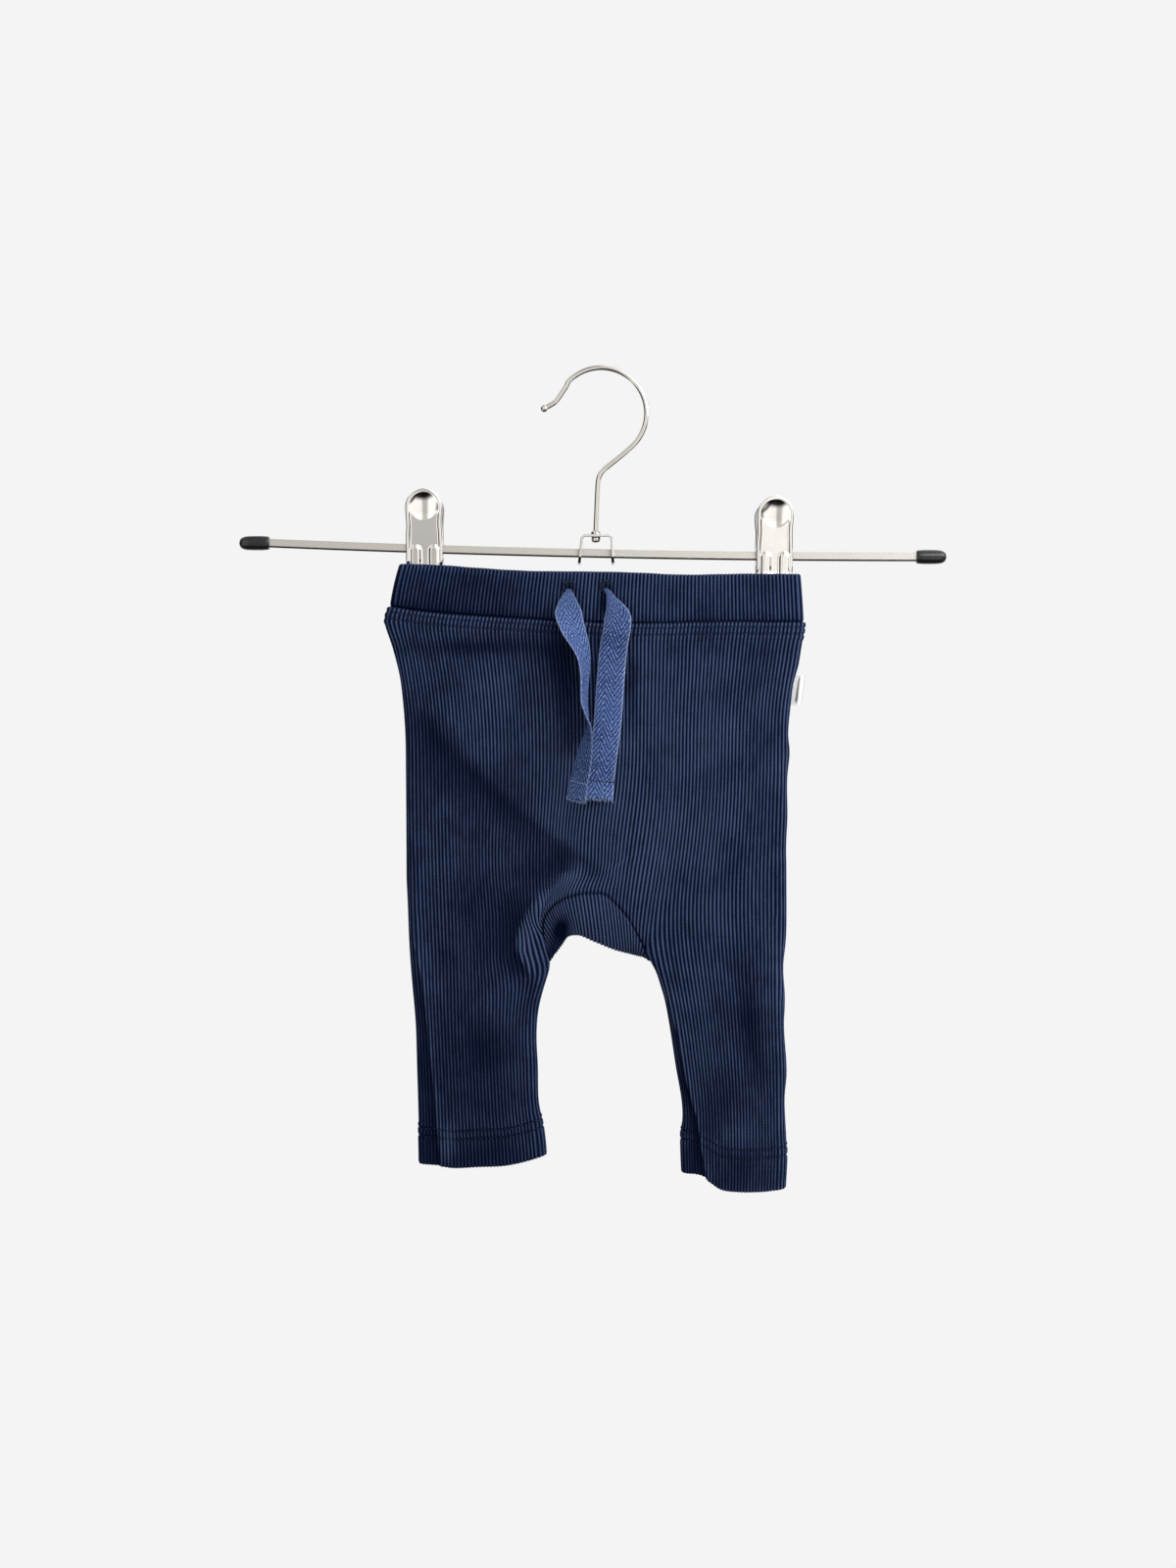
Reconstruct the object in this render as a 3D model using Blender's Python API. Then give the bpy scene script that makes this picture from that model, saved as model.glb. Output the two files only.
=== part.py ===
"""Ribbed baby leggings hung flat from a clip hanger.

Lengths are in millimetres and are turned into metres when a mesh is made. The origin is
the place inside the wire hook that bears on whatever holds the hanger. +Z is up and the
garment's front faces -Y. Every cloth piece is a wall through a grid of points: columns run
along the ribs' spacing, rows run down the garment, and the ribs are raised in the wall's
outer points over a plain inner face.
"""

import math

import bmesh
import bpy
import numpy as np

MM = 0.001
GAP = 0.3  # clearance between neighbouring pieces

# ---------------------------------------------------------------- cloth sizes
WALL = 1.4  # knit between the ribs
RIB = 0.5  # height of a rib
BAND_WALL = 2.0  # the waistband is a doubled strip
BAND_LIFT = 0.5  # seam allowance under the topstitched band and the turned hems
SKIN = WALL / 2 + RIB  # from a panel's middle surface to its ribs' crests
LEFT_RIBS, CROTCH_RIBS, RIGHT_RIBS = 38, 36, 36
HALF_RIBS = LEFT_RIBS + CROTCH_RIBS + RIGHT_RIBS
MID_Y = -2.2  # the plane of the side seams and inseams
BAND_CORNER = 2.4  # radius of the folds at the waistband's two sides
EYELET_R = 2.3
EYELETS = {"left": -15.0, "right": 3.1}  # x of each drawstring eyelet
EYELET_Z = -107.2
TAPE_WIDTH, TAPE_THICK = 13.5, 1.0
LABEL_TOP, LABEL_BOTTOM, LABEL_THICK, LABEL_CLEAR = -149.6, -164.2, 0.9, 0.7
LABEL_REACH = {"top": 100.6, "bottom": 98.6}


def table(columns, *rows):
    """A short table as one array for each named column."""
    return dict(zip(columns.split(), np.array(rows, float).T))


# ------------------------------------------------------- outlines, as x or z in mm
WAIST_TOP = table("x z", (-98, -95.4), (-78, -96.0), (-59, -97.4), (-39, -98.9),
                  (-14, -99.6), (24, -100.3), (42, -100.8), (75, -100.2), (98, -100.2))
WAIST_SEAM = table("x z", (-103, -115.6), (-88, -118.1), (-65, -120.5), (-37, -122.4),
                   (-2, -124.3), (21, -124.8), (56, -123.9), (99, -123.8))
WAIST_SIDES = table("z left right", (-94, -98.0, 98.0), (-105, -100.2, 98.7),
                    (-125, -102.6, 99.8))
BODY_SIDES = table(
    "z left right",
    (-116, -103.6, 100.0), (-123, -105.3, 100.6), (-132, -102.9, 99.4), (-146, -98.8, 97.0),
    (-152, -97.6, 95.0), (-164, -96.4, 93.5), (-180, -95.3, 92.2), (-186, -95.1, 93.1),
    (-203, -94.9, 91.6), (-219, -94.8, 92.0), (-235, -94.6, 91.1), (-251, -94.2, 91.3),
    (-279, -93.4, 91.0), (-293, -92.6, 89.6), (-312, -91.0, 90.5), (-319, -90.4, 90.0),
    (-344, -89.6, 91.4), (-357, -89.2, 90.3), (-382, -88.6, 91.3), (-403, -88.4, 90.4))
INSEAMS = table(
    "z left right",
    (-289.4, -24.0, 24.3), (-294, -24.8, 27.2), (-301, -26.9, 29.5), (-308, -28.9, 31.7),
    (-315.5, -30.4, 33.2), (-327, -31.1, 35.1), (-342, -30.4, 37.4), (-358, -30.0, 40.2),
    (-366, -28.6, 40.7), (-374, -27.4, 39.9), (-384, -26.5, 40.1), (-395, -26.3, 40.6))
HEM_LEFT = table("x z", (-88, -389.4), (-78, -390.0), (-71, -390.7), (-60, -390.0),
                 (-46, -389.4), (-36, -387.4), (-27, -384.6))
HEM_RIGHT = table("x z", (41, -393.8), (50, -395.2), (54, -398.0), (59, -401.2),
                  (67, -402.4), (78, -402.7), (90, -401.6))
# The gusset's seam on the front between the two places where it runs on down the legs'
# inner folds, and its two pointed ends on the inseams. Depth is from the middle plane.
GUSSET_SEAM = table(
    "x z depth",
    (-27.6, -277.0, 4.1), (-27.3, -268.6, 5.2), (-23.1, -262.4, 5.9), (-17.0, -258.6, 6.4),
    (-10.9, -256.9, 6.6), (-4.0, -256.4, 6.7), (2.5, -257.0, 6.6), (7.8, -261.6, 6.4),
    (13.4, -268.0, 6.0), (19.2, -278.0, 4.6), (22.3, -284.5, 3.2))
GUSSET_TIPS = {"left": -291.4, "right": -291.2}
# The fold where the gusset turns under: 0 to 1 along the seam, on to -1 and 2 at the tips.
GUSSET_FOLD = table(
    "share x z", (-1, -25.3, -291.2), (-0.5, -24.2, -288.8), (0, -22.4, -285.6),
    (0.12, -19.0, -281.0), (0.25, -16.2, -277.2), (0.4, -11.0, -276.2), (0.55, -2.0, -279.6),
    (0.7, 7.5, -283.4), (0.85, 15.0, -285.4), (1, 20.4, -286.8), (1.5, 23.6, -288.8),
    (2, 26.0, -290.8))

# Flat tube sections: corner is the radius of the side folds, front and back are how far the
# middle stands out past the corners, reach is the share of the width that it swells over.
WAIST_SECTION = {"corner": BAND_CORNER, "front": 4.2, "back": 2.6, "reach": 0.76}
BODY_SECTIONS = table("z corner front back reach", (-116, 2.8, 4.4, 3.2, 0.8),
                      (-132, 3.2, 5.0, 3.8, 0.88), (-165, 3.8, 5.2, 4.6, 1.0),
                      (-205, 4.2, 5.0, 5.4, 1.0), (-265, 4.5, 4.0, 5.0, 1.0))
LEG_SECTIONS = table("z corner front back reach", (-268, 4.5, 2.4, 3.0, 1.0),
                     (-310, 4.3, 1.8, 2.2, 1.0), (-350, 4.2, 1.6, 1.7, 1.0),
                     (-403, 4.2, 1.4, 1.5, 1.0))
TIP = (1, 1, 1, 2)  # inner columns beside the gusset's two ends
COLUMN_ROOM = 0.72  # least room between columns that bow round the gusset's left end
OUTER_CLIMB = {"left": 15.0, "right": 20.0}  # rise of a leg's first row towards the side

# Rows: share of the way down the body or the leg, and how far a doubled hem lifts the face.
BODY_ROWS = table("share lift", (0, 1), (0.055, 1), (0.085, 0), (0.2, 0), (0.45, 0),
                  (0.7, 0), (0.91, 0), (1, 0))
LEG_ROWS = table("share lift", (0, 0), (0.4, 0), (0.79, 0), (0.83, 1), (1, 1))
BACK_BODY_ROWS = table("share lift", (0, 1), (0.055, 1), (0.085, 0), (0.25, 0), (0.6, 0),
                       (0.91, 0), (1, 0))

# The largest creases: a straight stretch from x0, z0 to x1, z1, its height (troughs are
# negative) and the distance over which it fades.
FRONT_CREASES = table(
    "x0 z0 x1 z1 height width",
    (-88, -171, -59, -203, -1.5, 8), (-59, -203, -40, -219, -1.9, 7),
    (-40, -219, -5, -241, -2.0, 6), (-40, -281, -29, -261, 1.3, 4),
    (-29, -261, -10, -246, 1.5, 4), (-77, -288, -58, -334, -1.1, 5),
    (-37, -292, -34, -310, -1.3, 4), (62, -235, 68, -296, -1.1, 5),
    (68, -296, 78, -348, -1.3, 4), (81, -284, 89, -305, 0.9, 3),
    (-98, -135, -30, -137, -1.0, 5), (42, -137, 92, -137, -0.9, 5))
BACK_CREASES = table(
    "x0 z0 x1 z1 height width",
    (-80, -190, -30, -236, -1.6, 8), (78, -196, 26, -240, -1.7, 8),
    (-30, -262, -12, -246, 1.3, 5), (28, -262, 12, -247, 1.2, 5),
    (-66, -290, -58, -345, -1.2, 5), (70, -286, 62, -340, -1.1, 5),
    (-84, -138, 86, -138, -0.9, 5))
# Lengthwise folds in the legs: beyond the line the front is set back towards the seam.
LEFT_FOLD = table("z x depth", (-268, -94, 0), (-288, -88.9, 0.6), (-303, -86.4, 1.2),
                  (-337, -82.8, 1.8), (-370, -79.7, 2.2), (-391, -78.0, 2.4))
RIGHT_FOLD = table("z x depth", (-300, 30.5, 0), (-316, 35.4, 0.8), (-331, 39.2, 1.6),
                   (-352, 43.0, 2.4), (-365, 46.8, 2.8), (-389, 50.6, 3.0), (-403, 53.5, 3.0))
GUSSET_POCKET = {"x": -17.6, "z": -272.0, "height": -2.4, "width": 5.0}

# ------------------------------------------------------------- hanger sizes
WIRE_R = 1.35
HOOK_R = 22.3  # to the middle of the wire
HOOK_CENTRE = (0.7, -20.94)
STEM_X = -1.9
COLLAR_R, RIVET_R = 2.5, 2.3
BAR_HEIGHT, BAR_DEPTH = 4.0, 2.5
BAR_ENDS = (-172.0, 166.0)
BAR_MIDDLE_Z, BAR_SLOPE, BAR_SAG = -89.9, -0.021, 6.6e-5
CAP_LENGTH, CAP_HEIGHT, CAP_DEPTH = 14.7, 7.0, 6.2
BRACKET_WIDTH, BRACKET_DEPTH, SHEET = 15.0, 9.0, 1.3
BRACKET_TOP, BRACKET_TIP = -80.9, -95.0
CLIP_X = {"left": -85.9, "right": 85.6}
CLIP_HALF_WIDTH = 9.1
CLIP_SHEET = 1.0
BACK_JAW = 0.95  # the back jaw lies that much further out, behind the waistband's back
CAP_MOUTHS = {"left": -162.2, "right": 155.4}
# One pressed half of a clip, from its round head down to its jaw: height above the bar,
# half width, distance of its outer face in front of the bar's middle, depth of the turned
# sides, and how far the two pressed ribs (or, in the head, the thumb dish) stand out.
CLIP_HALF = table(
    "rise half_width front sides ribs dish",
    (28.7, 3.4, 9.2, 1.0, 0, 0), (26.6, 6.9, 9.1, 1.4, 0, -0.9), (22.6, 8.8, 8.6, 1.6, 0, -1.8),
    (17.0, 9.1, 7.6, 1.8, 0, -1.9), (11.5, 8.7, 6.2, 2.0, 0, -0.6), (4.6, 9.0, 4.3, 2.9, 0, 0),
    (2.6, 9.1, 3.9, 3.75, 0.7, 0), (-4.0, 9.1, 3.2, 3.05, 0.7, 0), (-5.6, 9.1, 3.0, 1.0, 0.7, 0),
    (-8.6, 9.1, 2.1, 1.0, 0.5, 0), (-21.5, 9.0, 2.1, 1.0, 0, 0))
SPRING_R, SPRING_LENGTH, SPRING_RISE = 3.1, 12.0, 5.65

# --------------------------------------------------------------- colours
NAVY = (0.020, 0.032, 0.085)
NAVY_BAND = (0.018, 0.030, 0.078)
TAPE_BLUE = (0.075, 0.135, 0.330)
LABEL_WHITE = (0.83, 0.83, 0.84)
STEEL = (0.72, 0.71, 0.69)
RUBBER_BLACK = (0.012, 0.012, 0.013)


def material(name, colour, roughness, metallic=0.0):
    """A Principled finish, shared by pieces of the same stuff."""
    made = bpy.data.materials.get(name)
    if made is None:
        made = bpy.data.materials.new(name)
        made.use_nodes = True
        shader = made.node_tree.nodes["Principled BSDF"]
        shader.inputs["Base Color"].default_value = (*colour, 1)
        shader.inputs["Roughness"].default_value = roughness
        shader.inputs["Metallic"].default_value = metallic
        made.diffuse_color = (*colour, 1)
    return made


def cloth():
    return material("ribbed_knit", NAVY, 0.9)


def steel():
    return material("bright_steel", STEEL, 0.15, 1.0)


def add_object(name, mesh, finish):
    obj = bpy.data.objects.new(name, mesh)
    bpy.context.scene.collection.objects.link(obj)
    mesh.materials.append(finish)
    return obj


def rounded(obj):
    """Shades a round piece smooth, with its real edges kept sharp."""
    obj.data.shade_smooth()
    obj.data.set_sharp_from_angle(angle=math.radians(50))
    return obj


def mesh_of(name, points, faces):
    """A mesh from points in millimetres, with its faces turned to point out."""
    mesh = bpy.data.meshes.new(name)
    mesh.from_pydata([tuple(MM * float(v) for v in p) for p in points], [], faces)
    work = bmesh.new()
    work.from_mesh(mesh)
    bmesh.ops.recalc_face_normals(work, faces=work.faces)
    work.to_mesh(mesh)
    work.free()
    return mesh


# ------------------------------------------------------------ reading the tables
def read(rows, column, at, by="z"):
    """A column at places along another one, on a smooth curve through the rows."""
    order = np.argsort(rows[by])
    x, y = rows[by][order], rows[column][order]
    slope = np.diff(y) / np.diff(x)
    tangent = np.concatenate([[slope[0]], (slope[:-1] + slope[1:]) / 2, [slope[-1]]])
    flat = np.concatenate([[False], slope[:-1] * slope[1:] <= 0, [False]])
    tangent = np.where(flat, 0, tangent)
    at = np.clip(np.asarray(at, float), x[0], x[-1])
    i = np.clip(np.searchsorted(x, at, side="right") - 1, 0, len(x) - 2)
    step = x[i + 1] - x[i]
    u = (at - x[i]) / step
    return ((2 * u**3 - 3 * u**2 + 1) * y[i] + (u**3 - 2 * u**2 + u) * step * tangent[i]
            + (3 * u**2 - 2 * u**3) * y[i + 1] + (u**3 - u**2) * step * tangent[i + 1])


def smooth(x):
    x = np.clip(x, 0, 1)
    return x * x * (3 - 2 * x)


def unit(v):
    return v / np.maximum(np.linalg.norm(v, axis=-1, keepdims=True), 1e-12)


def travel(points):
    """Distance along a line of points."""
    steps = np.linalg.norm(np.diff(points, axis=0), axis=1)
    return np.concatenate([[0], np.cumsum(steps)])


# ------------------------------------------------------------- flat tube sections
def half_section(left, right, corner, swell, reach, side, shares, trims=(GAP / 2, GAP / 2)):
    """x, y and outward normal along the front (side -1) or back (side 1) of a flat tube.

    The trims are the lengths left out at its two ends, where the other half begins.
    """
    turn = np.linspace(0, math.pi / 2, 25)
    middle = np.linspace(left + corner, right - corner, 202)[1:-1]
    centre, half = (left + right) / 2, (right - left) / 2 - corner
    u = np.clip(np.abs(middle - centre) / (half * reach), 0, 1)
    out = corner + swell * (1 - u**2) ** 2
    x = np.concatenate([left + corner - corner * np.cos(turn), middle,
                        right - corner + corner * np.sin(turn)])
    y = np.concatenate([corner * np.sin(turn), out, corner * np.cos(turn)])
    line = np.column_stack([x, y])
    before, after = line[1] * (1, -1), line[-2] * (1, -1)
    longer = np.vstack([before, line, after])
    tangent = unit(longer[2:] - longer[:-2])
    normal = np.column_stack([-tangent[:, 1], tangent[:, 0]])
    along = travel(line)
    at = trims[0] + np.asarray(shares) * (along[-1] - sum(trims))
    x, y = (np.interp(at, along, line[:, k]) for k in (0, 1))
    nx, ny = (np.interp(at, along, normal[:, k]) for k in (0, 1))
    normal = unit(np.column_stack([nx, side * ny, np.zeros_like(nx)]))
    return x, MID_Y + side * y, normal


def gusset_seam(shares, side):
    """Points and normals of the crotch seam on the front or back, leg to leg."""
    corner_points = np.column_stack([GUSSET_SEAM["x"], GUSSET_SEAM["z"]])
    knots = travel(corner_points)
    fine = np.linspace(0, knots[-1], 400)
    path = {"s": knots, **GUSSET_SEAM}
    x, z, depth = (read(path, name, fine, "s") for name in ("x", "z", "depth"))
    across = np.abs(np.diff(x)) + 0.15 * np.hypot(np.diff(x), np.diff(z))
    progress = np.concatenate([[0], np.cumsum(across)]) / np.sum(across)
    u = np.asarray(shares, float)
    x, z, depth = (np.interp(u, progress, v) for v in (x, z, depth))
    lean = [math.pi / 2 - fold_angle(leg) for leg in ("left", "right")]
    turn = lean[0] * np.exp(-u / 0.05) - lean[1] * np.exp(-(1 - u) / 0.05)
    normal = np.column_stack([np.sin(turn), side * np.cos(turn), np.zeros_like(u)])
    return np.column_stack([x, MID_Y + side * depth, z]), normal


def fold_angle(leg):
    """How far round a leg's inner fold the gusset's seam begins."""
    depth = GUSSET_SEAM["depth"][0 if leg == "left" else -1]
    return math.asin(depth / LEG_SECTIONS["corner"][np.argmax(LEG_SECTIONS["z"])])


def waist_seam(shares):
    """Height of the waist seam at shares of the way from the left side to the right."""
    return read(WAIST_SEAM, "z", -101 + np.asarray(shares) * 200, "x")


def section_row(sections, z, side):
    names = ("corner", "front" if side < 0 else "back", "reach")
    return [float(read(sections, name, z)) for name in names]


# -------------------------------------------------------------- the two leg panels
def panel_columns(per_rib):
    """The first and last column over the crotch, and the last column of all."""
    left = LEFT_RIBS * per_rib
    return left, left + CROTCH_RIBS * per_rib, HALF_RIBS * per_rib


def leg_row(leg, side, share, shares):
    """One leg's columns at a share of the way from the gusset's tip to the hem."""
    outline, hem = ("left", HEM_LEFT) if leg == "left" else ("right", HEM_RIGHT)
    inner_top = GUSSET_TIPS[leg]
    inner_hem = float(read(hem, "z", hem["x"].max() if leg == "left" else hem["x"].min(), "x"))
    outer_hem = float(read(hem, "z", hem["x"].min() if leg == "left" else hem["x"].max(), "x"))
    outer_top = inner_top + OUTER_CLIMB[leg]
    inner_z = inner_top + share * (inner_hem - inner_top)
    outer_z = outer_top + share * (outer_hem - outer_top)
    inset = (SKIN - RIB / 2) * (1 if leg == "left" else -1)
    outer_x = float(read(BODY_SIDES, outline, outer_z)) + inset
    inner_x = float(read(INSEAMS, outline, inner_z)) - inset
    low, high = sorted((outer_x, inner_x))
    size = section_row(LEG_SECTIONS, (inner_z + outer_z) / 2, side)
    x, y, normal = half_section(low, high, *size, side, shares)
    start, end = (outer_z, inner_z) if leg == "left" else (inner_z, outer_z)
    top_z = start + (end - start) * np.asarray(shares)
    hem_z = read(hem, "z", x, "x")
    bend = smooth((share - 0.5) / 0.5)
    first, last = (outer_hem, inner_hem) if leg == "left" else (inner_hem, outer_hem)
    straight_hem = first + (last - first) * np.asarray(shares)
    z = top_z + bend * (hem_z - straight_hem)
    return np.column_stack([x, y, z]), normal


def leg_top(leg, side, seam, shares):
    """The row of a leg that begins where the gusset's seam leaves its inner fold."""
    outline = "left" if leg == "left" else "right"
    corner = float(LEG_SECTIONS["corner"][np.argmax(LEG_SECTIONS["z"])])
    angle = fold_angle(leg)
    inwards = 1 if leg == "left" else -1
    inner_x = seam[0] + inwards * corner * (1 - math.cos(angle))
    outer_z = seam[2] + OUTER_CLIMB[leg]
    outer_x = float(read(BODY_SIDES, outline, outer_z)) + inwards * (SKIN - RIB / 2)
    low, high = sorted((outer_x, inner_x))
    trims = (GAP / 2, corner * angle)[:: inwards]
    size = section_row(LEG_SECTIONS, -268, side)
    x, y, normal = half_section(low, high, *size, side, shares, trims)
    start, end = (outer_z, seam[2]) if leg == "left" else (seam[2], outer_z)
    return np.column_stack([x, y, start + (end - start) * np.asarray(shares)]), normal


def junction_row(side, per_rib):
    """All columns at the height of the crotch: leg, gusset seam, leg."""
    first, last, count = panel_columns(per_rib)
    seam, seam_normal = gusset_seam(np.linspace(0, 1, last - first + 1), side)
    left, left_normal = leg_top("left", side, seam[0], np.linspace(0, 1, first + 1))
    right, right_normal = leg_top("right", side, seam[-1], np.linspace(0, 1, count - last + 1))
    points = np.vstack([left[:-1], seam, right[1:]])
    return points, np.vstack([left_normal[:-1], seam_normal, right_normal[1:]])


def body_row(side, share, per_rib, junction):
    """All columns at a share of the way from the waist seam to the crotch."""
    count = panel_columns(per_rib)[2]
    shares = np.linspace(0, 1, count + 1)
    z = waist_seam(shares) - GAP
    z = z + share * (junction[:, 2] - z)
    left = float(read(BODY_SIDES, "left", z[0])) + SKIN - RIB / 2
    right = float(read(BODY_SIDES, "right", z[-1])) - SKIN + RIB / 2
    size = section_row(BODY_SECTIONS, -124 - share * 141, side)
    x, y, normal = half_section(left, right, *size, side, shares)
    blend = float(smooth((share - 0.5) / 0.5))
    bowed = bowed_columns(junction[:, 0], per_rib)
    aside = (bowed - junction[:, 0]) * np.clip((z - junction[:, 2]) / 12, 0, 1)
    x = x + blend * (junction[:, 0] + aside - x)
    y = y + blend ** (1 + 25 * corner_weights(per_rib)) * (junction[:, 1] - y)
    return np.column_stack([x, y, z]), normal


def bowed_columns(x, per_rib):
    """x of the columns just above the crotch, kept apart where the seam doubles back."""
    bowed = x.copy()
    room = COLUMN_ROOM * 2 / per_rib
    for k in range(panel_columns(per_rib)[1] - 1, -1, -1):
        bowed[k] = min(x[k], bowed[k + 1] - room)
    return bowed


def corner_weights(per_rib):
    """How near each column is to an end of the gusset's seam."""
    first, last, count = panel_columns(per_rib)
    column = np.arange(count + 1)
    crotch = last - first
    left = np.where(column > first, np.clip(1 - (column - first) / (0.14 * crotch), 0, 1),
                    np.exp(-(first - column) / (5.0 * per_rib)))
    right = np.where(column < last, np.clip(1 - (last - column) / (0.2 * crotch), 0, 1),
                     np.exp(-(column - last) / (3.0 * per_rib)))
    return left + right


def crease_height(creases, x, z, soft):
    """Height of a panel's creases at places on it, each spread a little wider."""
    height = np.zeros(np.shape(x))
    for x0, z0, x1, z1, rise, width in zip(*(creases[k] for k in creases)):
        dx, dz = x1 - x0, z1 - z0
        t = ((x - x0) * dx + (z - z0) * dz) / (dx * dx + dz * dz)
        near = np.clip(t, 0, 1)
        away = np.hypot(x - x0 - near * dx, z - z0 - near * dz)
        height = height + rise * np.exp(-((away / (width * soft)) ** 2))
    return height


def fold_height(fold, outside, x, z, soft):
    """How far the strip beyond a lengthwise fold in a leg is set back."""
    at = np.clip(z, fold["z"].min(), fold["z"].max())
    beyond = outside * (read(fold, "x", at) - x)
    inside = (z < fold["z"].max()) & (z > fold["z"].min() - 1)
    return -read(fold, "depth", at) * smooth(beyond / (1.8 * soft) + 0.5) * inside


def front_relief(x, z, soft=1.0):
    relief = crease_height(FRONT_CREASES, x, z, soft)
    relief = relief + np.where(x < -60, fold_height(LEFT_FOLD, 1, x, z, soft), 0)
    return relief + np.where((x > 20) & (x < 64), fold_height(RIGHT_FOLD, 1, x, z, soft), 0)


def back_relief(x, z, soft=1.0):
    return crease_height(BACK_CREASES, x, z, soft)


def surface_normals(points, side):
    """Outward normals of a grid of points whose columns run left to right, rows down."""
    down = np.gradient(points, axis=0)
    across = np.gradient(points, axis=1)
    normal = np.cross(down, across)
    return unit(normal if side < 0 else -normal)


def evened(normal, window):
    """Normals averaged over neighbouring columns, the two edge columns left as they are."""
    total = np.cumsum(np.pad(normal, ((0, 0), (window + 1, window), (0, 0)), mode="edge"), axis=1)
    mean = unit(total[:, 2 * window + 1 :] - total[:, : -2 * window - 1])
    keep = np.clip(np.minimum(np.arange(normal.shape[1]), np.arange(normal.shape[1])[::-1])
                   / window, 0, 1)[None, :, None]
    return unit(normal * (1 - keep) + mean * keep)


def panel_surface(side, per_rib, body_rows, leg_rows, relief, soft):
    """Middle surface, normals and lifts of a panel. Crotch columns end at the junction."""
    first, last, count = panel_columns(per_rib)
    junction, junction_normal = junction_row(side, per_rib)
    made = [body_row(side, s, per_rib, junction) for s in body_rows["share"][:-1]]
    made.append((junction, junction_normal))
    for share in leg_rows["share"]:
        left = leg_row("left", side, share, np.linspace(0, 1, first + 1))
        right = leg_row("right", side, share, np.linspace(0, 1, count - last + 1))
        between = [np.repeat(part[-1:], last - first - 1, axis=0) for part in left]
        made.append(tuple(np.vstack([a, b, c]) for a, b, c in zip(left, between, right)))
    points = np.array([p for p, _ in made])
    edge_normal = np.array([n for _, n in made])
    body = len(body_rows["share"]) - 1
    normal = edge_normal.copy()
    above = surface_normals(points[: body + 1], side)
    normal[1:body, 1:-1] = above[1:-1, 1:-1]
    normal[1:body] = evened(normal[1:body], 3 * per_rib)
    for start, stop in ((0, first), (last, count)):
        leg = surface_normals(points[body:, start : stop + 1], side)
        normal[body + 1 : -1, start + 1 : stop] = leg[1:-1, 1:-1]
        steep = surface_normals(points[:, start : stop + 1], side)
        normal[body, start + 1 : stop] = steep[body, 1:-1]
    height = relief(points[..., 0], points[..., 2], soft)
    fade = np.abs(normal[..., 1])  # creases die out round the side folds
    points = points + normal * (height * fade)[..., None]
    lift = np.concatenate([body_rows["lift"], leg_rows["lift"]])
    return points, normal, lift, body


def rib_heights(count, per_rib):
    """Height of each column above the valleys, with a valley at each edge."""
    return RIB * (1 - np.cos(2 * math.pi * np.arange(count + 1) / per_rib)) / 2


# ------------------------------------------------------------ walls from grids
class Wall:
    """A closed wall: a fine outer grid over a coarser inner one, with rims between."""

    def __init__(self, outer, inner):
        self.outer, self.inner = outer, inner
        self.points, self.faces, self.index = [], [], {}

    def vertex(self, layer, row, column):
        key = (layer, row, column)
        if key not in self.index:
            grid = self.outer if layer == "outer" else self.inner
            self.index[key] = len(self.points)
            self.points.append(grid[row, column])
        return self.index[key]

    def patch(self, layer, rows, columns):
        """Quads over neighbouring rows and columns of a layer."""
        for a, b in zip(rows[:-1], rows[1:]):
            for c, d in zip(columns[:-1], columns[1:]):
                quad = [self.vertex(layer, *p) for p in ((a, c), (b, c), (b, d), (a, d))]
                self.faces.append(quad if layer == "outer" else quad[::-1])

    def rim(self, fine, coarse):
        """A strip of triangles from a fine run of outer cells to the coarse inner ones."""
        outer = [self.vertex("outer", *p) for p in fine]
        inner = [self.vertex("inner", *p) for p in coarse]
        places = [fine.index(p) for p in coarse]
        for k in range(len(coarse) - 1):
            start, end = places[k], places[k + 1]
            middle = (start + end + 1) // 2
            for i in range(start, middle):
                self.faces.append([outer[i], outer[i + 1], inner[k]])
            self.faces.append([inner[k], outer[middle], inner[k + 1]])
            for i in range(middle, end):
                self.faces.append([outer[i], outer[i + 1], inner[k + 1]])

    def build(self, name, finish):
        return add_object(name, mesh_of(name, self.points, self.faces), finish)


def spread(start, stop, step, dense=(), steps=(2, 2, 2)):
    """Column numbers every step, with a few more near the folded edges."""
    close = {start, stop}
    for edge in dense:
        away = np.cumsum((0,) + tuple(steps))
        close |= {edge + sign * int(k) for k in away for sign in (-1, 1)}
    close = {n for n in close if start <= n <= stop}
    plain = {n for n in range(start, stop + 1, step) if min(abs(n - c) for c in close) > 1}
    return sorted(close | plain)


def down_rows(rows, column):
    return [(row, column) for row in rows]


def along_row(row, columns):
    return [(row, column) for column in columns]


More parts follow.
